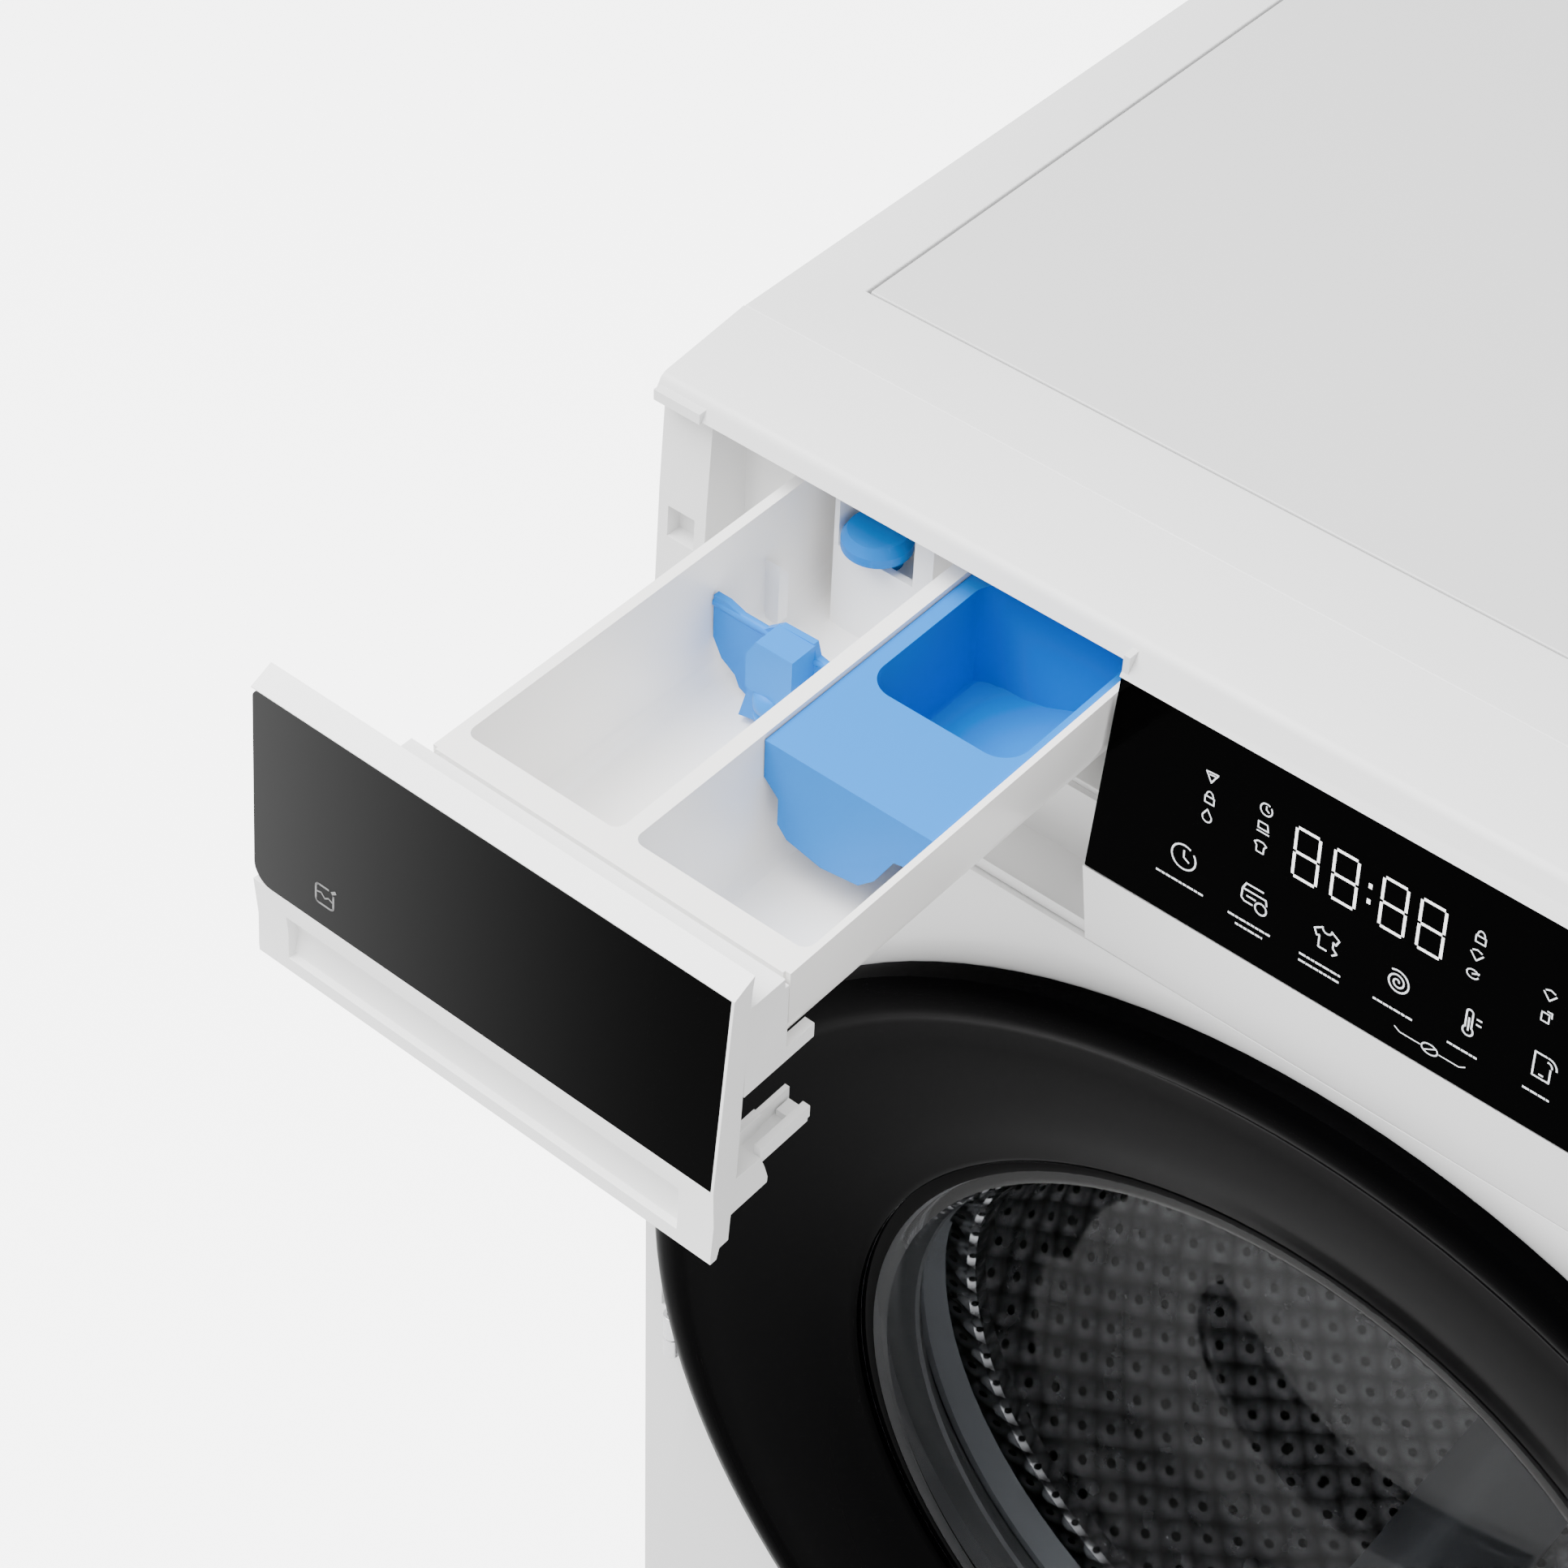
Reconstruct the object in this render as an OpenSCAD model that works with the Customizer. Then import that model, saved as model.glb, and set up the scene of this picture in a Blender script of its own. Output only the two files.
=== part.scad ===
// Front load washing machine with its detergent drawer pulled open.
// X runs left to right, Y front to back and Z up, in millimetres.
// Sub-parts are drawn with Y = 0 at the top edge of the control glass; placed() then
// centres the whole machine, open drawer included, on the origin.

/* [Cabinet] */
// Width over the side panels
body_w = 595; // [593:0.5:597]
// Height from the floor to the worktop
body_h = 850; // [848:1:854]
// Distance from the front plane to the rear panel
body_d = 528; // [526:1:534]
// How far the back cover stands behind the rear panel
rear_bulge = 12; // [11:0.5:14]
// Thickness of the painted sheet
sheet = 1.6; // [1.2:0.1:1.8]
// Height of the base pan above the floor
pan_z = 18; // [17:0.5:19]
// Height of the plinth's upper edge
plinth_top = 95; // [94:0.5:96]

/* [Worktop] */
// Distance from the front plane to the ridge where the top turns down
ridge_y = 49.6; // [48:0.2:52]
// Distance from the front plane to the worktop panel's seam
seam_y = 84; // [80:1:90]
// Width of the border beside the worktop panel
border_w = 26; // [22:1:30]

/* [Control panel] */
// Height of the control panel's lower edge
fascia_z = 714; // [713:0.5:715]
// Height of the control glass's upper edge
glass_top = 833.5; // [833:0.1:834]
// Height of the control glass's lower edge
glass_low = 754.85; // [754:0.05:756]
// How far the control glass's lower edge stands in front of its upper edge
glass_lean = 7.45; // [7:0.05:8]
// Thickness of the control glass
glass_t = 2.8; // [2.4:0.1:3]
// Radius of the programme knob
knob_r = 24; // [20:1:26]

/* [Detergent drawer] */
// How far the drawer is pulled out
drawer_out = 183; // [160:1:190]
// Distance from the cabinet's left side to the drawer front's right end
drawer_w = 196.8; // [196:0.1:197.5]
// Height of the drawer front's lower lip
lip_z = 721.5; // [720:0.5:723]
// Height of the tray's rim
rim_z = 824; // [823:0.5:825]
// Height of the tray's floor
floor_z = 765; // [762:1:768]

/* [Door] */
// Radius of the door's black ring
door_r = 285.6; // [284:0.2:287]
// Radius of the door's window
window_r = 190.6; // [189:0.2:192]
// Height of the door's and the drum's centre
axis_z = 422.9; // [421:0.1:424]

/* [Drum and tub] */
// Outer radius of the drum
drum_r = 262; // [258:1:264]
// Outer radius of the tub
tub_r = 284; // [283:0.5:286]
// Radius of the drum pulley
pulley_r = 140; // [136:1:142]
// Radius of the motor pulley
motor_pulley_r = 11; // [10:0.5:12]

/* [Fits] */
// Radial clearance between a shaft and its bore
running = 0.06; // [0.03:0.01:0.09]
// Gap between neighbouring covers
cover_gap = 0.5; // [0.3:0.1:0.8]

/* [Hidden] */

half_w = body_w / 2;
rear_y = body_d + rear_bulge;
lip_y = -8.1;
// Y of the machine's middle at rest, from the drawer's lip to the back cover
middle_y = (rear_y + lip_y - drawer_out) / 2;
drawer_x2 = drawer_w - half_w;
opening_x1 = 21.5 - half_w;
recess_y = 27;
corner_y = 7;
corner_z = body_h - 5.7;
side_top = body_h - 20.6;
lean = atan(glass_lean / (glass_top - glass_low));
glass_mid_z = (glass_top + glass_low) / 2;
knob_x = 165;
hinge_x = -278;
hinge_y = -4.5;
hinge_z = 78;
motor_x = 150;
motor_z = 103;
spring_x = 235;
spring_y = 330;
damper_x = 225;
damper_y = 262;
fill_x = -150;
fill_y = 200;
sump_y = 110;
pump_x = 205;
pump_z = 64;
heater_z = axis_z - 271.5;
flap_y = 155;
flap_z = 801;
foot_x = 245;
foot_front_y = 60;
foot_rear_y = 470;
white = "#e4e4e4";
black = "#16171a";
grey = "#9a9c9e";
steel = "#b9bcc0";
blue = "#6eaee3";

// Moves a sub-part from the front plane's frame to the machine's own frame
module placed() {
  translate([0, -middle_y, 0]) children();
}

// Moves the drawer's parts from their closed place to the open one
module drawn_out() {
  placed() translate([0, -drawer_out, 0]) children();
}

// A block between two opposite corners
module block(low, high) {
  translate(low) cube([high[0] - low[0], high[1] - low[1], high[2] - low[2]]);
}

// An outline in Y and Z, extruded along X
module along_x(x1, x2, outline) {
  translate([x1, 0, 0]) rotate([90, 0, 90]) linear_extrude(height = x2 - x1) polygon(outline);
}

// An outline in X and Z, extruded along Y
module along_y(y1, y2) {
  translate([0, y2, 0]) rotate([90, 0, 0]) linear_extrude(height = y2 - y1) children();
}

// An outline of radius and Y, turned about the drum's axis
module turned(outline) {
  translate([0, 0, axis_z]) rotate([-90, 0, 0]) rotate_extrude($fn = 120) polygon(outline);
}

// A rod along Y
module rod_y(x, z, r, y1, y2) {
  translate([x, y1, z]) rotate([-90, 0, 0]) cylinder(h = y2 - y1, r = r, $fn = 64);
}

// A rod along Z
module rod_z(x, y, r, z1, z2) {
  translate([x, y, z1]) cylinder(h = z2 - z1, r = r, $fn = 64);
}

// A rod along X
module rod_x(y, z, r, x1, x2) {
  translate([x1, y, z]) rotate([0, 90, 0]) cylinder(h = x2 - x1, r = r, $fn = 48);
}

// A rectangle in X and Z with round corners
module round_rect(x1, z1, x2, z2, r) {
  translate([x1 + r, z1]) square([x2 - x1 - 2 * r, z2 - z1]);
  translate([x1, z1 + r]) square([x2 - x1, z2 - z1 - 2 * r]);
  for (x = [x1 + r, x2 - r], z = [z1 + r, z2 - r]) translate([x, z]) circle(r = r, $fn = 48);
}

// Both sides of the machine
module both_sides() {
  children();
  mirror([1, 0, 0]) children();
}

// ---------------------------------------------------------------- cabinet

module side_panels() {
  color(white) placed() both_sides() {
    along_x(half_w - sheet, half_w, [[12.5, pan_z], [body_d - 1, pan_z], [body_d - 1, side_top],
      [ridge_y + cover_gap, side_top], [ridge_y + cover_gap, fascia_z - cover_gap],
      [12.5, fascia_z - cover_gap]]);
    block([half_w - 20, body_d - 1 - sheet, pan_z + 32], [half_w - 1, body_d - 1, side_top - 20]);
  }
}

module front_panel() {
  low = plinth_top + 1.3;
  high = fascia_z - cover_gap;
  slot_x = 234;
  color(white) placed() {
    difference() {
      union() {
        along_y(0, sheet) round_rect(-half_w, low, half_w, high, 2);
        both_sides() block([half_w - sheet, 0.6, low + 2], [half_w, 12, high - 2]);
      }
      rod_y(0, axis_z, 272.2, -1, sheet + 1);
      block([-288, -1, axis_z - 77], [-266, sheet + 1, axis_z + 77]);
    }
    block([-half_w + 2, 1, high - sheet], [half_w - 2, 11, high]);
    // The dish that the door sits in, with the lip that holds the gasket
    difference() {
      turned([[273, 0], [272.2, 0], [213, 18], [204, 18], [204, 30], [205.6, 30],
        [205.6, 19.6], [213.4, 19.6], [273, 1.5]]);
      block([-288, -1, axis_z - 77], [-266, 5, axis_z + 77]);
      block([slot_x - 8, 2, axis_z - 14], [slot_x + 11, 20, axis_z + 14]);
    }
    // The pocket that the door's edge turns into
    difference() {
      block([-289.6, 0.2, axis_z - 78.6], [-264.4, 7, axis_z + 78.6]);
      block([-288, 0, axis_z - 77], [-264, 5.4, axis_z + 77]);
      rod_y(0, axis_z, 264.8, -1, 8);
    }
  }
}

module base_pan() {
  x = half_w - sheet - 0.4;
  color(steel) placed() difference() {
    union() {
      block([-x, 14, pan_z], [x, body_d - 4, pan_z + 2.5]);
      both_sides() block([x - 2, 14, pan_z], [x, body_d - 4, pan_z + 30]);
      for (fx = [-foot_x, foot_x], fy = [foot_front_y, foot_rear_y])
        rod_z(fx, fy, 11, pan_z, pan_z + 14);
    }
    for (fx = [-foot_x, foot_x], fy = [foot_front_y, foot_rear_y])
      rod_z(fx, fy, 5 + running, pan_z - 1, pan_z + 20);
  }
}

module plinth() {
  color(white) placed() difference() {
    union() {
      along_y(1, 3.5) round_rect(-half_w, pan_z + 2, half_w, plinth_top, 2);
      both_sides() block([half_w - 2, 1.6, pan_z + 4], [half_w, 12, plinth_top - 2]);
    }
    block([pump_x - 47, 0, pan_z + 8], [pump_x + 47, 5, plinth_top - 5]);
  }
}

module rear_panel() {
  x = half_w - sheet - 0.4;
  color(white) placed() difference() {
    block([-x, body_d - 1 + 0.1, pan_z + 4], [x, body_d + 0.6, side_top]);
    along_y(body_d - 2, body_d + 2) round_rect(-200, 130, 200, 690, 30);
    rod_y(-230, 785, 17, body_d - 2, body_d + 2);
    rod_y(232, 785, 14, body_d - 2, body_d + 2);
    rod_y(215, 735, 8.1, body_d - 2, body_d + 2);
  }
}

module back_cover() {
  y = body_d + 0.7;
  color(grey) placed() difference() {
    union() {
      along_y(y, y + sheet) round_rect(-217, 114, 217, 706, 30);
      along_y(y, rear_y) round_rect(-190, 141, 190, 679, 40);
    }
    along_y(y - 1, rear_y - sheet) round_rect(-188, 143, 188, 677, 38);
    for (i = [0:8]) along_y(rear_y - 3, rear_y + 1) round_rect(-60, 200 + i * 14, 60, 205 + i * 14, 2);
  }
}

module top_frame() {
  inner = half_w - border_w;
  color(white) placed() difference() {
    along_x(-half_w, half_w, [[ridge_y, body_h], [body_d + 3, body_h], [body_d + 4, body_h - 1],
      [body_d + 4, side_top + 0.6], [ridge_y, side_top + 0.6]]);
    block([-inner, seam_y, body_h - 8], [inner, body_d - 16, body_h + 1]);
    block([-inner + 9, seam_y + 9, side_top], [inner - 9, body_d - 25, body_h]);
    block([-half_w + 3, ridge_y - 1, side_top], [half_w - 3, seam_y - 3, body_h - 3]);
  }
}

module worktop_panel() {
  inner = half_w - border_w - 0.9;
  color("#dcdcdc") placed() translate([0, 0, body_h - 7.7])
    linear_extrude(height = 7.5) polygon([[-inner, seam_y + 0.9], [inner, seam_y + 0.9],
      [inner, body_d - 16.9], [-inner, body_d - 16.9]]);
}

module cross_brace() {
  color(steel) placed() {
    x = half_w - sheet - 0.4;
    difference() {
      block([-x, spring_y - 18, side_top - 18], [x, spring_y + 18, side_top - 0.4]);
      block([-x - 1, spring_y - 16, side_top - 20], [x + 1, spring_y + 16, side_top - 2.4]);
    }
    for (sx = [-spring_x, spring_x]) difference() {
      block([sx - 3, spring_y - 16, side_top - 30], [sx + 3, spring_y + 16, side_top - 2.4]);
      rod_x(spring_y, side_top - 20, 5, sx - 4, sx + 4);
    }
  }
}

// ---------------------------------------------------------------- control panel

fascia_front = [[0, fascia_z], [-glass_lean, glass_low], [0, glass_top], [corner_y, corner_z],
  [corner_y + 2, corner_z + 1], [ridge_y, body_h]];
fascia_inside = [[ridge_y + 1, body_h - 3], [11, corner_z - 2], [5.4, glass_top - 1],
  [4.6 - glass_lean, glass_low + 2], [3, fascia_z + 2.5], [ridge_y + 1, fascia_z + 2.5]];

module fascia() {
  color(white) placed() difference() {
    union() {
      difference() {
        along_x(-half_w, half_w, concat(fascia_front, [[ridge_y, fascia_z]]));
        along_x(-half_w + 2.5, half_w - 2.5, fascia_inside);
      }
      // The pillar and the walls of the recess that the drawer front closes
      block([-half_w + 1, 2, fascia_z + 1], [opening_x1, 14, 842]);
      block([opening_x1 - 2.5, 2, fascia_z + 1], [opening_x1, recess_y + 2.5, 842]);
      block([drawer_x2, 1, fascia_z + 1], [drawer_x2 + 2.5, recess_y + 2.5, 842]);
      block([opening_x1 - 2.5, recess_y, fascia_z + 1], [drawer_x2 + 2.5, recess_y + 2.5, 844]);
    }
    // The pillar stands behind the closed drawer front
    along_x(-half_w - 1, drawer_x2, [[-20, fascia_z - 1], [2.2, fascia_z - 1], [2.4, 735],
      [4.2, 755], [6.3, 796.5], [8.9, 832], [9.9, 842], [1.5, 837.3], [-20, 820]]);
    // The recess, with its floor sloping to the front edge
    along_x(opening_x1, drawer_x2, [[-20, 719], [3, 719], [recess_y, 739], [recess_y, 842.6],
      [11, 841.5], [1.5, 837.3], [-20, 836]]);
    // The hole that the tray runs through
    block([-254, recess_y - 1, 746], [drawer_x2 - 0.2, recess_y + 4, 829]);
    // The hole for the drawer front's catch
    block([-293, 0, 777.5], [-281, 12, 790.5]);
    // The seat of the control glass
    glass_slab(drawer_x2, half_w + 1, -1, glass_t + 0.15);
    on_glass(knob_x) cylinder(h = 40, r = 3.4, center = true, $fn = 48);
    glass_slab(-20, 90, glass_t - 1, 8, 18);
  }
}

// A slab parallel to the control glass, from depth d1 to depth d2 behind its face
module glass_slab(x1, x2, d1, d2, inset = 0, low_gap = 0) {
  n = [cos(lean), -sin(lean)];
  up = [sin(lean), cos(lean)];
  low = [-glass_lean, glass_low] + up * (inset + low_gap);
  high = [0, glass_top] - up * inset;
  along_x(x1, x2, [low + n * d1, high + n * d1, high + n * d2, low + n * d2]);
}

// A place on the control glass's face at half its height, with Z pointing out of it
module on_glass(x) {
  translate([x, -glass_lean / 2, glass_mid_z]) rotate([90 - lean, 0, 0]) children();
}

module control_glass() {
  color(black) placed() difference() {
    glass_slab(drawer_x2 + 0.5, half_w - 0.6, 0, glass_t, 0.15, 0.5);
    on_glass(knob_x) cylinder(h = 20, r = 3.4, center = true, $fn = 48);
  }
}

module display_board() {
  color("#1f5e3a") placed() {
    glass_slab(-70, 215, 10.6, 12.2, 10);
    glass_slab(-16, 86, 7, 10.8, 22);
    difference() {
      on_glass(knob_x) translate([0, 0, -10.8]) cylinder(h = 5, r = 9, $fn = 48);
      on_glass(knob_x) translate([0, 0, -10.5]) cylinder(h = 6, r = 3 + running, $fn = 48);
    }
  }
}

module programme_knob() {
  color("#c9ccd0") placed() on_glass(knob_x) {
    translate([0, 0, 0.5]) cylinder(h = 3, r = knob_r, $fn = 96);
    translate([0, 0, 3.5]) cylinder(h = 10.5, r1 = knob_r - 1, r2 = knob_r - 2.2, $fn = 96);
    translate([0, 0, -10]) cylinder(h = 11, r = 3, $fn = 48);
  }
}

module control_box() {
  color("#d8d8d6") placed() difference() {
    block([110, 370, 745], [250, 500, 806]);
    block([113, 373, 748], [247, 497, 803]);
    block([120, 369, 752], [180, 374, 790]);
  }
}

// ---------------------------------------------------------------- drawer

module dispenser_housing() {
  spout_top = 747;
  color(white) placed() difference() {
    union() {
      block([-256, recess_y + 2.7, 745], [-95, 292, 828.6]);
      rod_z(fill_x, fill_y, 20, 728, spout_top);
    }
    block([-253.5, recess_y, 748], [-97.5, 289, 826.6]);
    rod_z(fill_x, fill_y, 17, 720, 750);
  }
}

// The drawer front's section: its face leans forward and its lip has a finger scoop behind
module drawer_front() {
  x1 = -half_w;
  x2 = drawer_x2 - 0.8;
  color(white) drawn_out() difference() {
    union() {
      along_x(x1, x2, [[0, glass_top + 0.5], [9, 838], [8, 832], [5.5, 796.5], [3.4, 755],
        [0.9, 735], [0.2, 725.7], [-3.9, 725.6], [-5.2, lip_z - 0.3], [lip_y, lip_z - 0.3],
        [lip_y, 724], [-6.9, 738], [-glass_lean, glass_low - 0.5]]);
      // The block that carries the tray, and its lower tongue
      block([-252, 6, 787], [x2 - 0.3, 25, 824.5]);
      block([-252, 20, 787], [-246.2, 38, 793]);
      block([-105.6, 20, 787], [x2 - 0.3, 38, 793]);
      catch_arm();
    }
    glass_pocket();
    // The groove before the tray's rim
    block([-253, 23.2, 820.5], [x2 + 1, 26, 826]);
    // The finger scoop under the glass
    along_x(x1 + 14, x2 - 14, [[-15, 727], [-5, 727], [-2.5, 736], [-4.5, 745], [-8, 746],
      [-15, 746]]);
    block([-244, 10, 770], [-112, 22, 820]);
  }
}

module glass_pocket() {
  glass_slab(-half_w - 1, drawer_x2 - 1.9, -3, glass_t + 0.1, -0.1);
}

// The two-railed arm behind the front's lower right corner
module catch_arm() {
  x2 = drawer_x2 - 0.8;
  along_x(x2 - 11, x2, [[1, 752.5], [14.5, 751.5], [16.5, 746], [18.2, 739.6], [18, 737], [0, 737]]);
  block([x2 - 11, 2, 748.6], [x2 - 0.3, 37, 751]);
  block([x2 - 11, 2, 750], [x2 - 8, 24, 757.5]);
  block([x2 - 10.4, 20, 750], [x2 - 8.6, 38, 757.5]);
  block([x2 - 3.2, 15, 750], [x2 - 0.3, 38, 755]);
  block([x2 - 8, 31, 750], [x2 - 3, 37, 753.5]);
}

module drawer_glass() {
  x1 = -half_w + 0.6;
  color(black) drawn_out() difference() {
    glass_slab(x1, drawer_x2 - 2.1, 0, glass_t, 0);
    round_corner(x1, glass_low, 8, -1);
    round_corner(x1, glass_top, 3, 1);
  }
}

// Takes a square corner off the left end of a slab, leaving radius r
module round_corner(x, z, r, up) {
  along_y(-20, 10) difference() {
    translate([x - 1, up > 0 ? z - r : z - 1]) square([r + 1, r + 1]);
    translate([x + r, z - up * r]) circle(r = r, $fn = 48);
  }
}

// The tray: two compartments in a body that hangs from a wide rim
module drawer_tray() {
  x1 = -245.5;
  x2 = -102.3;
  rear = 262;
  front = 26;
  color(white) drawn_out() {
    difference() {
      union() {
        along_y(front, rear) polygon([[x1, rim_z], [x1, floor_z + 11], [x1 + 3, floor_z + 3],
          [x1 + 10, floor_z - 3], [x2 - 26, floor_z - 3], [x2 - 14, floor_z + 13],
          [x2 - 4, floor_z + 28], [x2, rim_z - 21], [x2, rim_z]]);
        block([x1 + 2, front - 1, 794], [x2 - 2, front + 1, rim_z]);
      }
      // Main wash compartment
      intersection() {
        along_y(30, 230) hollow([[-241.5, 15], [-240.2, 9], [-237.2, 4], [-232, 1], [-226, 0],
          [-188, 0], [-183, 1.2], [-179.8, 4.5], [-178.5, 9]]);
        well_plan(-241.5, 36, -178.5, 221);
      }
      // Softener compartment
      intersection() {
        along_y(30, 230) hollow([[-172.5, 9], [-171.2, 4.5], [-168, 1.2], [-163, 0], [-131, 0],
          [-118.5, 15], [-109, 28], [-104.7, 40]]);
        well_plan(-172.5, 36, -104.7, 208);
      }
      // The well behind the compartments, open below for the water
      along_y(226, rear - 3) hollow([[-241.5, 14], [-233, 7], [-125, 7], [-117, 18],
        [-109.5, 30], [-104.9, 41]]);
      block([-190, 230, floor_z - 5], [-135, 252, floor_z + 10]);
    }
    // The rib behind the flap
    along_x(-241.6, -235.5, [[180, 776], [185, 776], [185, 796], [180, 802]]);
    // The siphon's housing against the rear wall
    difference() {
      block([-231, 203, floor_z - 1], [-189, 221.5, rim_z - 1]);
      block([-229, 206, floor_z + 30], [-192, 220.4, rim_z]);
      block([-229, 200, 800.6], [-197, 210, rim_z]);
    }
  }
}

// A hollow from the tray's rim down to an outline given as X and height above the floor
module hollow(line) {
  polygon(concat([[line[0][0], rim_z + 1]], [for (p = line) [p[0], floor_z + p[1]]],
    [[line[len(line) - 1][0], rim_z + 1]]));
}

// A compartment's plan with round corners
module well_plan(x1, y1, x2, y2) {
  translate([0, 0, floor_z - 1]) linear_extrude(height = 80) round_rect(x1, y1, x2, y2, 4);
}

// The light blue softener cover: a flat top with a deep well and an apron in front
module softener_insert() {
  x1 = -172.1;
  x2 = -105.1;
  y1 = 97;
  y2 = 207.4;
  top = rim_z - 2;
  color(blue) drawn_out() difference() {
    intersection() {
      union() {
        block([x1, y1, top - 3], [x2, y2, top]);
        along_y(134, y2) polygon([[-168.6, top - 1], [-168.6, 778], [-166, 774], [-129, 774],
          [-117, 788], [-111, 798], [-106.2, 808], [-106.2, top - 1]]);
        along_y(y1, y1 + 2.4) polygon([[x1, top - 1], [x1, 806], [x1 + 6, 800], [x1 + 6, 789],
          [x1 + 10, 784.5], [-148, 781.5], [-133, 784], [-127, 790], [-120, 803], [-113, 804.7],
          [x2, 806], [x2, top - 1]]);
      }
      well_plan(x1, 36, x2, y2);
    }
    // The well
    intersection() {
      translate([0, 0, 776]) linear_extrude(height = 60)
        round_rect(-166, 138, -108.2, y2 - 2.5, 10);
      along_y(130, y2) polygon([[-167, 830], [-167, 784], [-165, 780], [-160, 777.5],
        [-150, 777.5], [-140, 780], [-130, 784.5], [-121, 791], [-114, 799.5], [-108.2, 810],
        [-108.2, 830]]);
    }
  }
}

module siphon_cap() {
  color(blue) drawn_out() {
    rod_z(-215.5, 212.6, 6, floor_z + 30.2, 806.1);
    rod_z(-215.5, 207, 12.5, 806, 809.5);
    translate([-215.5, 207, 809.4]) cylinder(h = 3.6, r1 = 12.5, r2 = 10.5, $fn = 64);
  }
}

// The liquid detergent flap, hanging from its pivots
module detergent_flap() {
  color(blue) drawn_out() {
    along_y(flap_y - 2.5, flap_y) polygon([[-240.8, flap_z + 3.5], [-235, flap_z + 3.5],
      [-228, 802], [-221, 800.5], [-217, 804], [-212, 808], [-198, 808.5], [-196.5, 803],
      [-188, 801], [-180, 799], [-180, 787], [-190, 780], [-201, 774], [-212, 769], [-222, 766.4],
      [-229, 770], [-231, 774.5], [-237, 778.5], [-240.8, 786]]);
    along_y(flap_y - 14, flap_y - 2) polygon([[-217, 786], [-197.5, 786], [-197.5, 808],
      [-213, 808], [-217, 801]]);
    along_y(flap_y - 11, flap_y - 2) polygon([[-222, 768], [-204, 772.5], [-197.5, 787],
      [-217, 787]]);
    rod_x(flap_y - 1.25, flap_z, 1.8, -241.1, -178.9);
  }
}

// ---------------------------------------------------------------- door

ring_face = [[door_r, -5.6], [door_r - 1, -8.8], [door_r - 4.1, -11.3], [door_r - 8.6, -12.2],
  [door_r - 12, -12.3], [door_r - 15, -11.8], [door_r - 17.6, -10.6], [door_r - 20, -9.9],
  [255, -8.1], [246, -6.3], [238, -4.5], [230, -2.6], [222, -0.6], [214, 1.6], [207, 3.7],
  [200, 6], [window_r + 3, 7.9], [window_r + 1, 8.5], [window_r, 9.4]];
ring_back = [[window_r, 12.2], [window_r + 3.4, 11.4], [216, 4.4], [241, -1.8], [267, -6.9],
  [272, -8.8], [277, -9], [280.6, -8.2], [door_r - 3.2, -6.4], [door_r - 3, -0.6],
  [door_r, -0.6]];

// The room round the hinge pins and arms
module hinge_room() {
  for (s = [-1, 1]) {
    rod_z(hinge_x, hinge_y, 4.6, axis_z + s * (hinge_z + 1) - 14, axis_z + s * (hinge_z + 1) + 14);
    block([hinge_x - 12, hinge_y - 2.3, axis_z + s * hinge_z - 8.2],
      [hinge_x + 34, hinge_y + 2.3, axis_z + s * hinge_z + 8.2]);
  }
}

module door_ring() {
  color(black) placed() difference() {
    turned(concat(ring_face, ring_back));
    hinge_room();
  }
}

module door_inner_frame() {
  color("#5b5e62") placed() difference() {
    turned([[282.2, -0.6], [282, -6], [280, -7.8], [277, -8.6], [272.3, -8.4], [267.3, -6.5],
      [241.2, -1.4], [216.3, 4.8], [201, 9.6], [201, 16], [214, 15.2], [238, 8.2],
      [266, -0.6]]);
    hinge_room();
    block([226, -3, axis_z - 20], [250, 20, axis_z + 20]);
  }
}

module door_glass() {
  color("#2a2c2f") placed() turned([[0, 116], [98.5, 112], [137.5, 100.6], [156.4, 80],
    [168, 49], [174, 23], [178, 13.5], [181, 12.5], [200, 12.5], [200, 16.5], [183, 17],
    [178, 24], [172, 50], [160, 82], [140, 104], [100, 116], [0, 120]]);
}

module door_hook() {
  color(grey) placed() {
    difference() {
      block([227, 2.2, axis_z - 19], [249, 6, axis_z + 19]);
      rod_y(0, axis_z, 227.5, -1, 7);
    }
    along_x(229, 240, [for (p = [[3, -8], [30, -8], [38, 0], [30, 8], [24, 8], [24, 2], [16, 2],
      [12, 8], [3, 8]]) [p[0], p[1] + axis_z]]);
  }
}

module hinge_arms() {
  color(steel) placed() for (s = [-1, 1]) {
    z = axis_z + s * hinge_z;
    difference() {
      union() {
        rod_z(hinge_x, hinge_y, 4, z - 7.5, z + 7.5);
        block([hinge_x, hinge_y - 1.6, z - 7.5], [hinge_x + 32, hinge_y + 1.6, z + 7.5]);
      }
      rod_z(hinge_x, hinge_y, 2 + running, z - 9, z + 9);
    }
  }
}

// The fixed half of the hinge: a lug and a pin above and below the door's arms
module hinge_pins() {
  color(steel) placed() for (s = [-1, 1]) {
    z = axis_z + s * (hinge_z + 14);
    rod_z(hinge_x, hinge_y, 4, z - 6, z + 6);
    block([hinge_x - 4, hinge_y, z - 6], [hinge_x + 4, -0.05, z + 6]);
    rod_z(hinge_x, hinge_y, 2, axis_z + s * (hinge_z + 1.5) - 8, axis_z + s * (hinge_z + 1.5) + 8);
  }
}

module door_lock() {
  color("#f0f0ee") placed() difference() {
    block([220, 21, axis_z - 34], [256, 50, axis_z + 34]);
    block([224, 20, axis_z - 12], [246, 46, axis_z + 12]);
  }
}

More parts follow.
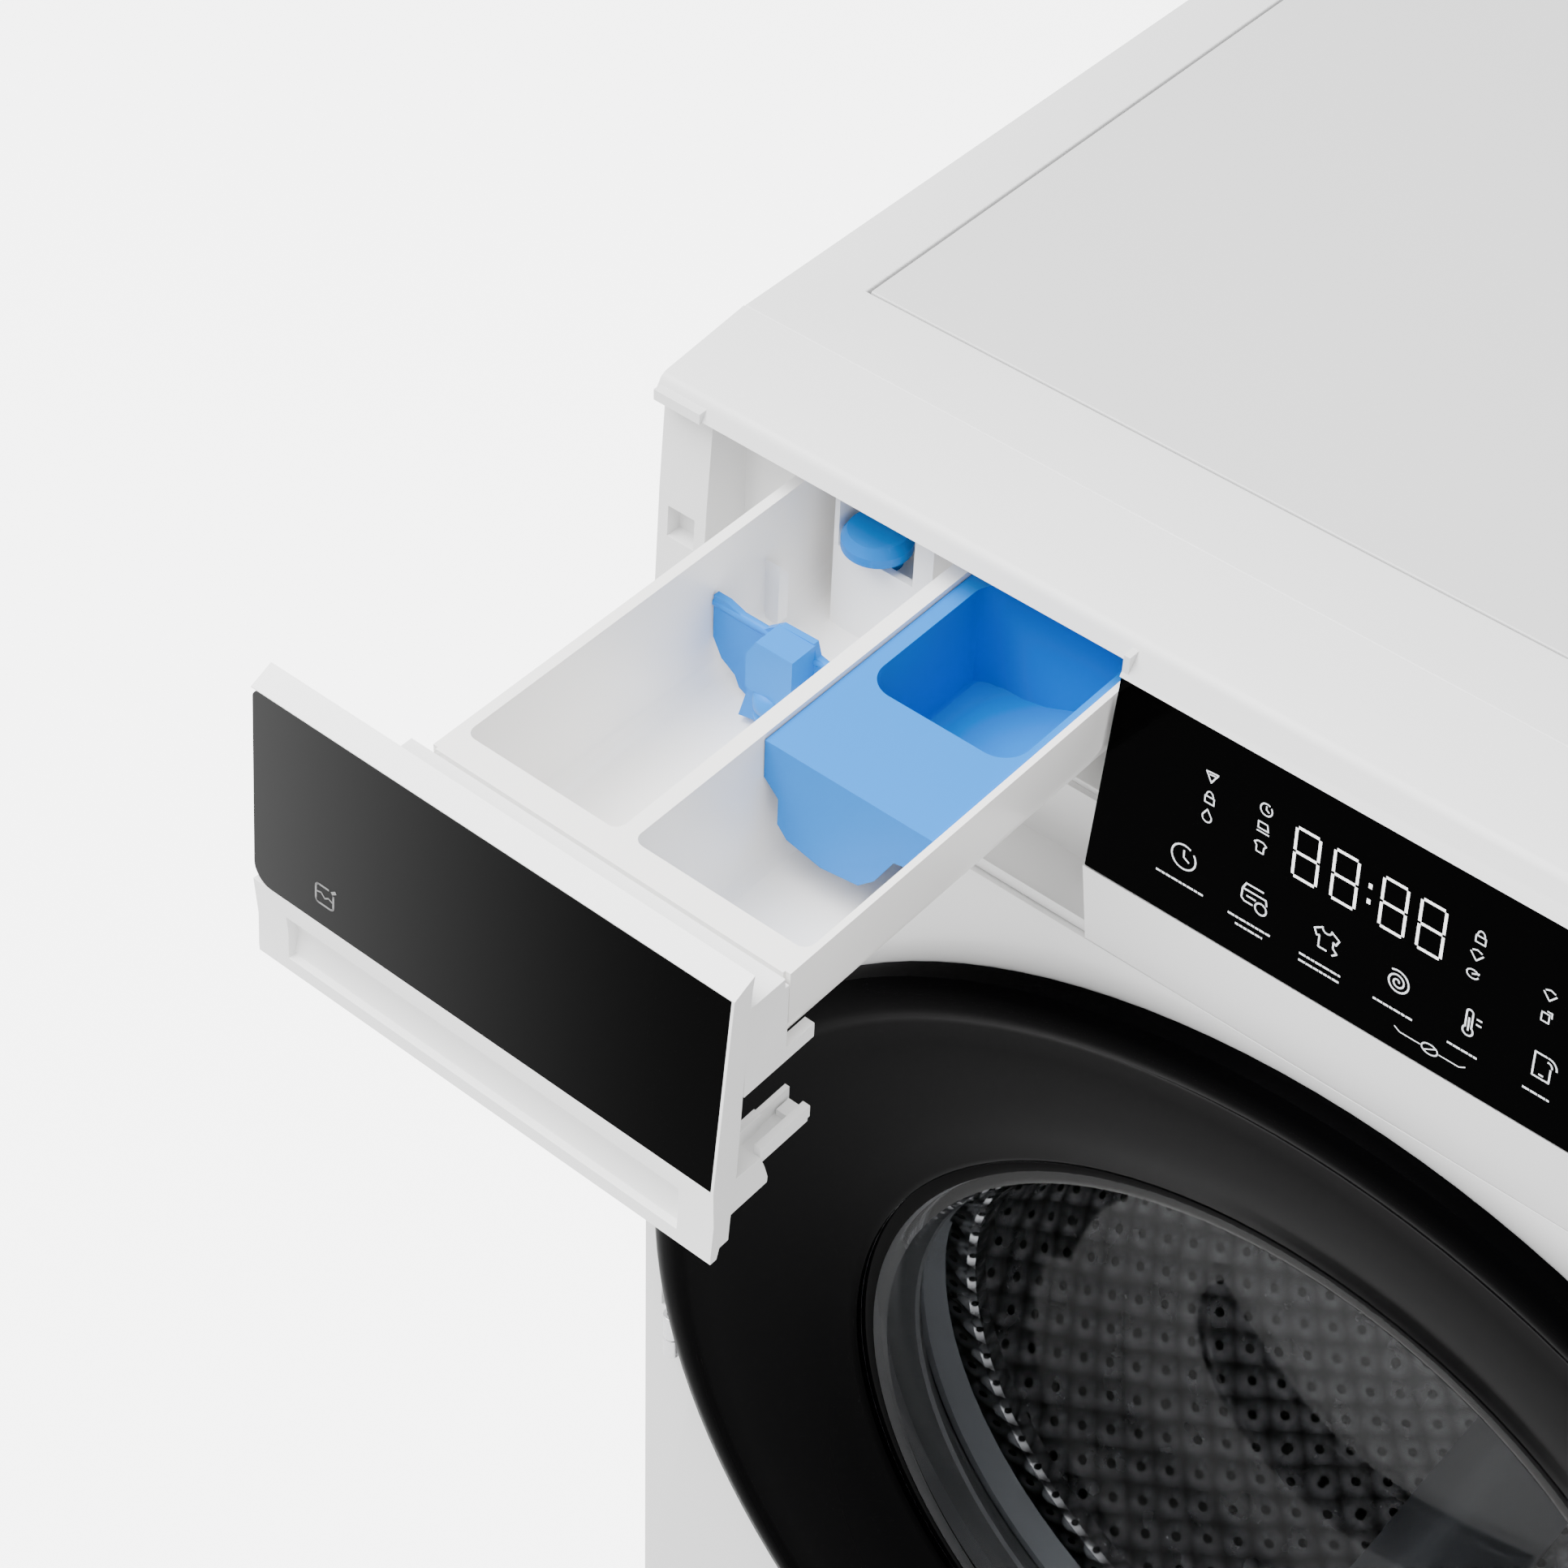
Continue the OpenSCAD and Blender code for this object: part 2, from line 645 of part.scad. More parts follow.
// The rubber bellows between the cabinet's lip and the tub
module door_gasket() {
  color("#8d9094") placed() turned([[203.6, 17], [203.6, 32], [208, 32], [208, 22], [211, 22],
    [211, 34], [206, 37], [195, 39], [194, 45], [200, 49], [200, 53], [192, 55.7],
    [190.4, 55.7], [190.4, 50], [196, 51], [190, 45], [190, 38], [180, 37], [177.6, 33],
    [178.6, 31.4], [183, 33.5], [192, 34.5], [200, 33.5], [200, 17]]);
}

// ---------------------------------------------------------------- tub

module tub_front() {
  color("#c9cdd1") placed() {
    difference() {
      turned([[186, 46], [190, 46], [190, 56], [tub_r - 3, 56], [tub_r, 59], [tub_r, 224],
        [tub_r + 5, 226], [tub_r + 5, 229.8], [tub_r - 3, 229.8], [tub_r - 3, 60], [186, 60]]);
      for (x = [-22, 22]) rod_y(x, heater_z, 3.8, 50, 62);
    }
    difference() {
      rod_z(fill_x, fill_y, 20, 655, 700);
      rod_z(fill_x, fill_y, 17, 650, 710);
      rod_y(0, axis_z, tub_r - 0.2, 150, 229);
    }
    difference() {
      rod_z(0, sump_y, 24, 124, 150);
      rod_z(0, sump_y, 20, 120, 155);
      rod_y(0, axis_z, tub_r - 0.2, 70, 150);
    }
  }
}

module tub_rear() {
  color("#c9cdd1") placed() {
    turned([[tub_r + 5, 230], [tub_r + 5, 234], [tub_r, 236], [tub_r, 420], [46, 424],
      [46, 462], [20, 462], [20, 460.5], [31, 460.5], [31, 434], [26, 434], [26, 433.2],
      [31, 433.2], [31, 417.5], [tub_r - 3, 417.5], [tub_r - 3, 230]]);
    both_sides() translate([0, 0, axis_z]) rotate([0, -atan2(217, spring_x), 0]) difference() {
      block([tub_r - 1, spring_y - 7, -6], [332, spring_y + 7, 6]);
      translate([320, spring_y - 8, 0]) rotate([-90, 0, 0]) cylinder(h = 16, r = 4, $fn = 32);
    }
    both_sides() difference() {
      block([damper_x - 11, damper_y + 4, 222.4], [damper_x + 11, damper_y + 16, 262]);
      rod_y(0, axis_z, tub_r - 0.5, damper_y, damper_y + 20);
    }
    motor_clamp(345, 357);
    motor_clamp(428, 440);
  }
}

// A web that holds the motor under the tub
module motor_clamp(y1, y2) {
  difference() {
    union() {
      rod_y(motor_x, motor_z, 67, y1, y2);
      along_y(y1, y2) polygon([[60, 152], [110, 80], [190, 80], [196, 230]]);
    }
    rod_y(motor_x, motor_z, 60.1, y1 - 1, y2 + 1);
    rod_y(0, axis_z, tub_r - 0.5, y1 - 1, y2 + 1);
  }
}

// Two concrete arcs on the tub's front wall
module front_weights() {
  color("#8f8d88") placed() difference() {
    turned([[214, 34], [276, 34], [276, 55.5], [214, 55.5]]);
    for (s = [-1, 1]) along_y(30, 60)
      polygon([[0, axis_z], [s * 320, axis_z - 150], [s * 320, axis_z + 150]]);
    along_y(30, 60) polygon([[0, axis_z], [-80, axis_z - 320], [80, axis_z - 320]]);
  }
}

module top_weight() {
  color("#8f8d88") placed() difference() {
    block([-84, 250, 676], [200, 400, 734]);
    rod_y(0, axis_z, tub_r + 0.3, 249, 401);
    block([-85, 249, 674], [201, 251, 740]);
  }
}

module heater() {
  z = heater_z;
  color(steel) placed() {
    for (x = [-22, 22]) rod_y(x, z, 3.5, 48, 335);
    block([-28, 333, z - 5], [28, 341, z + 5]);
    difference() {
      block([-34, 50, z - 8], [34, 55.8, z + 18]);
      rod_y(0, axis_z, 214, 45, 60);
    }
  }
}

module motor() {
  color("#5c6066") placed() {
    rod_y(motor_x, motor_z, 60, 330, 452);
    rod_y(motor_x, motor_z, 24, 452, 460);
  }
}

module motor_pulley() {
  color(steel) placed() difference() {
    union() {
      rod_y(motor_x, motor_z, motor_pulley_r, 466, 484);
      rod_y(motor_x, motor_z, motor_pulley_r + 3, 466, 468);
      rod_y(motor_x, motor_z, 5, 461, 466.5);
    }
    rod_y(motor_x, motor_z, 2, 480, 485);
  }
}

// Angle between the belt's straight runs and the line of centres
function belt_dist() = sqrt(pow(motor_x, 2) + pow(axis_z - motor_z, 2));
function arc_points(cx, cz, r, a1, a2, n) = [for (i = [0:n]) let (a = a1 + (a2 - a1) * i / n)
  [cx + r * cos(a), cz + r * sin(a)]];
function belt_line(extra) = let (
    dir = atan2(motor_z - axis_z, motor_x),
    wrap = acos((pulley_r - motor_pulley_r) / belt_dist()))
  concat(arc_points(0, axis_z, pulley_r + extra, dir + wrap, dir + 360 - wrap, 56),
    arc_points(motor_x, motor_z, motor_pulley_r + extra, dir - wrap, dir + wrap, 12));

module drive_belt() {
  color("#222222") placed() along_y(470, 482) difference() {
    polygon(belt_line(3.9));
    polygon(belt_line(0.4));
  }
}

module bearings() {
  color(steel) placed() for (y = [[418.5, 433], [446, 460.4]]) difference() {
    rod_y(0, axis_z, 30.95, y[0], y[1]);
    rod_y(0, axis_z, 15 + running, y[0] - 1, y[1] + 1);
  }
}

module damper_rods() {
  color(steel) placed() both_sides() {
    rod_z(damper_x, damper_y, 9, 100, 222);
    block([damper_x - 11, damper_y - 9, 214], [damper_x + 11, damper_y + 3.8, 234]);
  }
}

module damper_tubes() {
  color("#3a3c40") placed() both_sides() difference() {
    union() {
      rod_z(damper_x, damper_y, 15, pan_z + 2.6, 170);
      block([damper_x - 20, damper_y - 14, pan_z + 2.6], [damper_x + 20, damper_y + 14, 30]);
    }
    rod_z(damper_x, damper_y, 9 + running, 60, 180);
  }
}

module suspension_springs() {
  color(steel) placed() both_sides() difference() {
    rod_z(spring_x, spring_y, 13, 656, 792);
    rod_z(spring_x, spring_y, 9, 650, 800);
  }
}

module fill_hose() {
  color("#2b2d30") placed() translate([fill_x, fill_y, 0]) rotate_extrude($fn = 64)
    polygon(concat([[20.3, 744], [20.3, 688]],
      [for (i = [0:8]) [i % 2 == 0 ? 22.5 : 27, 688 + i * 7]]));
}

module sump_hose() {
  color("#2b2d30") placed() translate([0, sump_y, 0]) rotate_extrude($fn = 64)
    polygon(concat([[24.3, 137], [24.3, 92]], [for (i = [0:5]) [i % 2 == 0 ? 26.5 : 31, 92 + i * 45 / 5]]));
}

// ---------------------------------------------------------------- drum

module drum_shell() {
  color("#c4c7ca") placed() turned([[drum_r, 72], [drum_r, 398], [drum_r - 3, 401], [0, 401],
    [0, 399], [drum_r - 4, 399], [drum_r - 2, 397], [drum_r - 2, 73], [drum_r - 5, 70.5],
    [180, 68], [178, 70], [178, 73], [174, 73], [174, 66], [177, 64], [drum_r - 4, 68]]);
}

module drum_lifters() {
  color("#d9dadb") placed() for (i = [0:2]) translate([0, 0, axis_z]) rotate([0, 90 + i * 120, 0])
    translate([0, 0, -axis_z]) along_x_lifter();
}

// One lifter, standing on the drum's wall on the +X side
module along_x_lifter() {
  r = drum_r - 2.2;
  along_y(96, 372) polygon([[r - 2.2, axis_z - 34], [r - 0.1, axis_z - 6], [r - 0.1, axis_z + 6],
    [r - 2.2, axis_z + 34], [r - 18, axis_z + 22], [r - 44, axis_z + 9], [r - 48, axis_z + 4],
    [r - 48, axis_z - 4], [r - 44, axis_z - 9], [r - 18, axis_z - 22]]);
}

module drum_spider() {
  color("#a5a8ab") placed() {
    for (i = [0:2]) translate([0, 0, axis_z]) rotate([0, 30 + i * 120, 0])
      block([0, 401.2, -15], [drum_r - 6, 411, 15]);
    rod_y(0, axis_z, 42, 401.2, 412);
    rod_y(0, axis_z, 15, 411, 490);
  }
}

module drum_pulley() {
  color("#a5a8ab") placed() difference() {
    union() {
      difference() {
        rod_y(0, axis_z, pulley_r, 468, 484);
        rod_y(0, axis_z, pulley_r - 8, 467, 485);
      }
      rod_y(0, axis_z, 26, 466, 486);
      for (i = [0:5]) translate([0, 0, axis_z]) rotate([0, i * 60, 0])
        block([20, 472, -7], [pulley_r - 6, 480, 7]);
    }
    rod_y(0, axis_z, 15 + running, 460, 490);
  }
}

// ---------------------------------------------------------------- base and back

// One levelling foot: pad, hexagon and threaded stem
module foot(x, y) {
  color("#2a2b2d") placed() {
    rod_z(x, y, 21, 0, 6);
    rod_z(x, y, 17, 5.9, 9);
    rod_z(x, y, 5, 8.9, 44);
  }
}

module foot_front_left() {
  foot(-foot_x, foot_front_y);
}

module foot_front_right() {
  foot(foot_x, foot_front_y);
}

module foot_rear_left() {
  foot(-foot_x, foot_rear_y);
}

module foot_rear_right() {
  foot(foot_x, foot_rear_y);
}

module foot_locknuts() {
  color(steel) placed() for (x = [-foot_x, foot_x], y = [foot_front_y, foot_rear_y]) difference() {
    translate([x, y, pan_z - 6.2]) cylinder(h = 6, r = 9.5, $fn = 6);
    rod_z(x, y, 5 + running, pan_z - 8, pan_z + 1);
  }
}

module drain_pump() {
  color("#e8e8e6") placed() {
    difference() {
      union() {
        rod_y(pump_x, pump_z, 31, 22, 118);
        rod_x(sump_y, pump_z, 20, 0, pump_x);
        rod_z(0, sump_y, 24, pump_z - 22, 104);
        rod_y(pump_x, pump_z, 22, 118, 168);
        block([pump_x - 24, 40, pan_z + 2.6], [pump_x + 24, 110, 40]);
      }
      rod_y(pump_x, pump_z, 25 + running, 21, 100);
      rod_z(0, sump_y, 20, pump_z, 110);
      rod_x(sump_y, pump_z, 16, 4, pump_x - 20);
    }
  }
}

module filter_cap() {
  color("#2f3236") placed() {
    rod_y(pump_x, pump_z, 29, 17, 21.5);
    rod_y(pump_x, pump_z, 25, 21, 48);
    block([pump_x - 24, 8, pump_z - 4], [pump_x + 24, 17.2, pump_z + 4]);
  }
}

module service_flap() {
  low = pan_z + 9.6;
  high = plinth_top - 5.6;
  color(white) placed() {
    block([pump_x - 46.4, 1, low], [pump_x + 46.4, 3.5, high]);
    difference() {
      rod_x(3.5, low + 2.5, 2.4, pump_x - 40, pump_x + 40);
      block([pump_x - 41, -5, 0], [pump_x + 41, 1, high]);
    }
    block([pump_x - 8, 3.4, high - 8], [pump_x + 8, 6, high - 3]);
  }
}

module inlet_valve() {
  color("#e9e9e7") placed() difference() {
    union() {
      block([-252, 470, 765], [-208, 522, 805]);
      rod_y(-230, 785, 16, 521, 526.5);
      rod_y(-230, 785, 13.2, 526, rear_y);
    }
    rod_y(-230, 785, 9.5, 500, rear_y + 1);
  }
}

module drain_outlet() {
  color(grey) placed() difference() {
    union() {
      rod_y(232, 785, 20, 519, 526.8);
      rod_y(232, 785, 11, 526, rear_y);
    }
    rod_y(232, 785, 8.5, 510, rear_y + 1);
  }
}

module cable_gland() {
  color("#2a2b2d") placed() difference() {
    union() {
      rod_y(215, 735, 8, 520, 534);
      rod_y(215, 735, 12, body_d + 0.7, 533);
      rod_y(215, 735, 12, 520, 526.8);
    }
    rod_y(215, 735, 4, 515, 540);
  }
}

module transit_caps() {
  color(grey) placed() for (x = [-245, 245], z = [280, 580]) {
    rod_y(x, z, 17, body_d + 0.7, body_d + 3);
    rod_y(x, z, 12, body_d + 2.9, body_d + 6);
  }
}

module rear_screws() {
  color(steel) placed() {
    for (x = [-204, 204], z = [150, 320, 490, 670])
      rod_y(x, z, 5, body_d + 0.7 + sheet + 0.05, body_d + 5.4);
    for (x = [-120, 120]) rod_y(x, body_h - 12, 5, body_d + 4.05, body_d + 7);
  }
}

side_panels();
front_panel();
base_pan();
plinth();
rear_panel();
back_cover();
top_frame();
worktop_panel();
cross_brace();
fascia();
control_glass();
display_board();
control_box();
dispenser_housing();
inlet_valve();
drain_outlet();
cable_gland();
transit_caps();
rear_screws();
damper_tubes();
drain_pump();
door_lock();
hinge_pins();
foot_locknuts();
foot_front_left();
foot_front_right();
foot_rear_left();
foot_rear_right();
drawer_front();
drawer_glass();
drawer_tray();
softener_insert();
siphon_cap();
detergent_flap();
door_ring();
door_inner_frame();
door_glass();
door_hook();
hinge_arms();
tub_front();
tub_rear();
front_weights();
top_weight();
heater();
motor();
drive_belt();
bearings();
damper_rods();
suspension_springs();
door_gasket();
fill_hose();
sump_hose();
drum_shell();
drum_lifters();
drum_spider();
drum_pulley();
motor_pulley();
programme_knob();
service_flap();
filter_cap();
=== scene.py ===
import bpy, math, random
from mathutils import Vector, Matrix


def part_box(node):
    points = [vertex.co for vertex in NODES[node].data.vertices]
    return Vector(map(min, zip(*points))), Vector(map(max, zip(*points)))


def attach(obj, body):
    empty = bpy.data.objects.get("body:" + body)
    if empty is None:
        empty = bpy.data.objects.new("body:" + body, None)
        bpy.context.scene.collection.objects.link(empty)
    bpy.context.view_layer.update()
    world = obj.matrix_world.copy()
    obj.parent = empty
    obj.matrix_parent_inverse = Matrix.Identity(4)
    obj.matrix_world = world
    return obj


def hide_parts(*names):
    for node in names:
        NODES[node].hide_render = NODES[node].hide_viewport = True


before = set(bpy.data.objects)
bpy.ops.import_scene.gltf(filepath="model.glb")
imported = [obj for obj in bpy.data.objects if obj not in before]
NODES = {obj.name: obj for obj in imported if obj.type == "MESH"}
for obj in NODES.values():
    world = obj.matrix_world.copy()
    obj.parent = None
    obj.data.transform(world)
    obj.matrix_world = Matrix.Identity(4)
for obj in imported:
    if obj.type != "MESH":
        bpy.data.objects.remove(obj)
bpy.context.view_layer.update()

random.seed(7)
# The machine's own Y counts from the control glass's upper edge, and the ridge stands this far behind it
RIDGE_Y = 0.0496
Y_SHIFT = RIDGE_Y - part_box("top_frame")[0].y
SHARP = math.radians(32)    # edges sharper than this are bevelled or split
FLAT = math.radians(0.4)    # faces that differ by less than this become one
WELD_GAP = 0.000002
DRUM_ROWS = 72              # rows of holes round the drum
HOLES_PER_M = 44.0          # holes along a metre of the drum's wall
HOLE_EDGE = (0.13, 0.17)    # where a hole ends, in parts of the holes' spacing
HOLE_BLACK = (0.02, 0.02, 0.02)
DRUM_BRIGHT = (0.80, 0.80, 0.81)
# The drawer glass runs from plain black at its right end to a painted reflection at its left end
DRAWER_RIGHT = (0.0002, 0.0002, 0.0002)
DRAWER_LEFT_REFLECTION = (0.043, 0.043, 0.043)
DRAWER_REFLECTION_FADE = 2.0           # how fast the painted reflection at the drawer glass's left end fades towards its right
EDGE_POINTINESS = (0.51, 0.58)      # where the painted edge highlight grows, from a flat face's pointiness to a sharp edge's
NOISE_RANGE = (0.3, 0.7)    # where nearly all of a noise texture's values lie
MIX_A, MIX_B, MIX_OUT = 6, 7, 2     # a colour mix node's two inputs and its output


# ------------------------------------------------------------------ materials
class Mat:
    """A small node-tree builder round one Principled shader."""

    def __init__(self, name):
        self.material = bpy.data.materials.new(name)
        self.material.use_nodes = True
        self.tree = self.material.node_tree
        self.shader = self.tree.nodes["Principled BSDF"]

    def node(self, kind, **settings):
        new = self.tree.nodes.new(kind)
        for key, value in settings.items():
            setattr(new, key, value)
        return new

    def link(self, output, socket):
        self.tree.links.new(output, socket)

    def set(self, **settings):
        """Plain values for the shader's inputs, by short names."""
        names = {"color": "Base Color", "rough": "Roughness", "metal": "Metallic", "ior": "IOR",
                 "spec": "Specular IOR Level", "trans": "Transmission Weight", "coat": "Coat Weight",
                 "coat_rough": "Coat Roughness", "emit": "Emission Color", "emit_k": "Emission Strength"}
        for key, value in settings.items():
            socket = self.shader.inputs[names[key]]
            socket.default_value = (*value, 1) if isinstance(value, tuple) else value
        return self

    def coords(self):
        return self.node("ShaderNodeTexCoord").outputs["Object"]

    def noise(self, scale, detail, stretch=None):
        noise = self.node("ShaderNodeTexNoise")
        noise.inputs["Scale"].default_value = scale
        noise.inputs["Detail"].default_value = detail
        place = self.coords()
        if stretch:
            mapping = self.node("ShaderNodeMapping")
            mapping.inputs["Scale"].default_value = stretch
            self.link(place, mapping.inputs["Vector"])
            place = mapping.outputs["Vector"]
        self.link(place, noise.inputs["Vector"])
        return noise.outputs["Fac"]

    def ramp(self, value, low, high, start=0.0, end=1.0):
        """Maps a socket's range start..end to low..high."""
        remap = self.node("ShaderNodeMapRange")
        remap.inputs["From Min"].default_value = start
        remap.inputs["From Max"].default_value = end
        remap.inputs["To Min"].default_value = low
        remap.inputs["To Max"].default_value = high
        self.link(value, remap.inputs["Value"])
        return remap.outputs["Result"]

    def calc(self, operation, *values):
        """A math node on numbers or sockets."""
        step = self.node("ShaderNodeMath", operation=operation)
        for slot, value in zip(step.inputs, values):
            if isinstance(value, (int, float)):
                slot.default_value = value
            else:
                self.link(value, slot)
        return step.outputs[0]

    def mix(self, factor, first, second):
        """A mix of two colours by a socket."""
        blend = self.node("ShaderNodeMix", data_type="RGBA")
        blend.inputs[MIX_A].default_value = (*first, 1)
        blend.inputs[MIX_B].default_value = (*second, 1)
        self.link(factor, blend.inputs[0])
        return blend.outputs[MIX_OUT]

    def xyz(self):
        split = self.node("ShaderNodeSeparateXYZ")
        self.link(self.coords(), split.inputs["Vector"])
        return split.outputs

    def paint(self, color):
        self.link(color, self.shader.inputs["Base Color"])
        return self

    def tint(self, color, amount, scale):
        """A slow variation of the base colour."""
        darker = [c * (1 - amount) for c in color]
        lighter = [min(1, c * (1 + amount)) for c in color]
        return self.paint(self.mix(self.noise(scale, 2), darker, lighter))

    def edge_highlight(self, color, edge, amount):
        """Painted highlight: edges a little lighter than the faces, from the geometry's pointiness."""
        shape = self.node("ShaderNodeNewGeometry")
        share = self.ramp(shape.outputs["Pointiness"], 0.0, amount, *EDGE_POINTINESS)
        return self.paint(self.mix(share, color, edge))

    def vary_rough(self, scale, low, high, stretch=None):
        rough = self.ramp(self.noise(scale, 4, stretch), low, high, *NOISE_RANGE)
        self.link(rough, self.shader.inputs["Roughness"])
        return self

    def bump(self, height, strength, distance):
        relief = self.node("ShaderNodeBump")
        relief.inputs["Strength"].default_value = strength
        relief.inputs["Distance"].default_value = distance
        self.link(height, relief.inputs["Height"])
        self.link(relief.outputs["Normal"], self.shader.inputs["Normal"])
        return self


def enamel(name, color, rough=0.32):
    skin = Mat(name).set(rough=rough, spec=0.5, coat=0.25, coat_rough=0.12).tint(color, 0.012, 2.5)
    skin.vary_rough(9, rough - 0.03, rough + 0.04)
    return skin.bump(skin.noise(900, 2), 0.05, 0.0002).material


def plastic(name, color, rough=0.4, grain=1400, strength=0.08, coat=0.0, spec=0.5):
    skin = Mat(name).set(rough=rough, spec=spec, coat=coat, coat_rough=0.1)
    # painted highlight: edges drawn lighter than the faces
    skin.edge_highlight(color, tuple(min(1, c * 1.12 + 0.01) for c in color), 0.6)
    skin.vary_rough(25, rough - 0.05, rough + 0.05)
    return skin.bump(skin.noise(grain, 2), strength, 0.0002).material


def gloss(name, color, rough):
    skin = Mat(name).set(color=color, rough=rough, spec=0.008)
    skin.vary_rough(14, rough, rough + 0.03)
    return skin.bump(skin.noise(40, 1), 0.01, 0.0003)


def metal(name, color, rough=0.3, stretch=(1, 1, 60), scale=40, strength=0.05):
    skin = Mat(name).set(metal=1.0, rough=rough)
    # painted highlight: edges drawn lighter than the faces
    skin.edge_highlight(color, tuple(min(1, c * 1.25) for c in color), 0.5)
    skin.vary_rough(scale, rough - 0.08, rough + 0.1, stretch)
    return skin.bump(skin.noise(scale * 4, 3, stretch), strength, 0.0002).material


def drawer_black_painted_reflection():
    """Black glass with a painted reflection: paler towards its left end."""
    skin = gloss("drawer_black_painted_reflection", DRAWER_LEFT_REFLECTION, 0.08)
    lo, hi = (NODES["drawer_glass"].matrix_world.inverted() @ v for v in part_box("drawer_glass"))
    left = skin.calc("POWER", skin.ramp(skin.xyz()["X"], 1.0, 0.0, lo.x, hi.x), DRAWER_REFLECTION_FADE)
    return skin.paint(skin.mix(left, DRAWER_RIGHT, DRAWER_LEFT_REFLECTION)).material


def window_glass():
    skin = Mat("window_glass").set(color=(0.55, 0.555, 0.565), rough=0.03, trans=1.0, ior=1.14, spec=0.5)
    return skin.vary_rough(6, 0.01, 0.03).material


def drum_steel():
    """The drum's wall: rows of holes between raised diamonds, counted round the axis and along it."""
    skin = Mat("drum_steel").set(metal=1.0, rough=0.22)
    lo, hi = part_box("drum_shell")
    middle = NODES["drum_shell"].matrix_world.inverted() @ ((lo + hi) / 2)
    xyz = skin.xyz()
    dx = xyz["X"]
    dz = skin.calc("SUBTRACT", xyz["Z"], middle.z)
    around = skin.calc("MULTIPLY", skin.calc("ARCTAN2", dz, dx), DRUM_ROWS / (2 * math.pi))
    reach = skin.calc("SQRT", skin.calc("ADD", skin.calc("MULTIPLY", dx, dx), skin.calc("MULTIPLY", dz, dz)))
    along = skin.calc("MULTIPLY", skin.calc("SUBTRACT", xyz["Y"], reach), HOLES_PER_M)
    slant = skin.node("ShaderNodeCombineXYZ")
    skin.link(skin.calc("ADD", around, along), slant.inputs[0])
    skin.link(skin.calc("SUBTRACT", around, along), slant.inputs[1])
    cells = skin.node("ShaderNodeTexVoronoi", voronoi_dimensions="2D")
    cells.inputs["Scale"].default_value = 1.0
    cells.inputs["Randomness"].default_value = 0.0
    skin.link(slant.outputs[0], cells.inputs["Vector"])
    distance = cells.outputs["Distance"]
    holes = skin.mix(skin.ramp(distance, 0.0, 1.0, *HOLE_EDGE), HOLE_BLACK, DRUM_BRIGHT)
    # Painted shade: the steel grows darker from round each hole towards the corners between the holes, standing
    # for the light and shade on the drum's diamond relief
    shade = skin.node("ShaderNodeMix", data_type="RGBA", blend_type="MULTIPLY")
    shade.inputs[0].default_value = 1.0
    skin.link(holes, shade.inputs[MIX_A])
    skin.link(skin.ramp(distance, 1.0, 0.12, 0.30, 0.66), shade.inputs[MIX_B])
    skin.paint(shade.outputs[MIX_OUT]).vary_rough(60, 0.16, 0.3)
    return skin.bump(distance, 0.9, 0.004).material


PAINT = {}
PAINT["white"] = enamel("white_enamel", (0.76, 0.76, 0.76))
PAINT["white_plastic"] = plastic("white_plastic", (0.90, 0.90, 0.895), 0.38, coat=0.15)
PAINT["shell"] = plastic("shell_white", (0.74, 0.74, 0.74), 0.4, coat=0.1)
PAINT["worktop"] = enamel("worktop_white", (0.63, 0.63, 0.63), 0.36)
PAINT["tray"] = plastic("tray_white", (0.97, 0.955, 0.93), 0.34, 1800, 0.04, 0.1)
PAINT["glass_black"] = gloss("panel_black", (0.0001, 0.0001, 0.00013), 0.05).material
PAINT["ring_black"] = gloss("ring_black", (0.0007, 0.0007, 0.0008), 0.10).material
PAINT["grey"] = plastic("grey_plastic", (0.18, 0.185, 0.19), 0.5, 1200, 0.2)
PAINT["frame_grey"] = plastic("frame_grey", (0.12, 0.12, 0.125), 0.42, 1200, 0.15)
PAINT["dark"] = plastic("dark_plastic", (0.02, 0.02, 0.022), 0.5, 1100, 0.25)
PAINT["tub"] = plastic("tub_plastic", (0.38, 0.40, 0.42), 0.55, 700, 0.3)
PAINT["blue"] = plastic("blue_plastic", (0.0, 0.175, 0.58), 0.36, 1500, 0.05, 0.0, 0.12)
PAINT["board"] = plastic("board_green", (0.02, 0.12, 0.05), 0.4, 500, 0.3)
PAINT["zinc"] = metal("zinc_sheet", (0.55, 0.56, 0.57), 0.42, (1, 1, 1), 60, 0.1)
PAINT["steel"] = metal("bright_steel", (0.62, 0.62, 0.63), 0.28)
PAINT["cast"] = metal("cast_alloy", (0.50, 0.51, 0.52), 0.5, (1, 1, 1), 300, 0.4)
PAINT["iron"] = plastic("motor_paint", (0.06, 0.065, 0.07), 0.5, 400, 0.4)
PAINT["concrete"] = plastic("concrete", (0.26, 0.25, 0.235), 0.9, 160, 1.0)
PAINT["rubber_grey"] = plastic("gasket_rubber", (0.17, 0.175, 0.18), 0.6, 900, 0.2)
PAINT["rubber_black"] = plastic("black_rubber", (0.015, 0.015, 0.016), 0.62, 900, 0.3)
PAINT["knob"] = metal("knob_metal", (0.66, 0.67, 0.68), 0.3, (1, 1, 1), 40, 0.008)
PAINT["drawer_black_painted_reflection"] = drawer_black_painted_reflection()
PAINT["window"] = window_glass()
PAINT["drum"] = drum_steel()

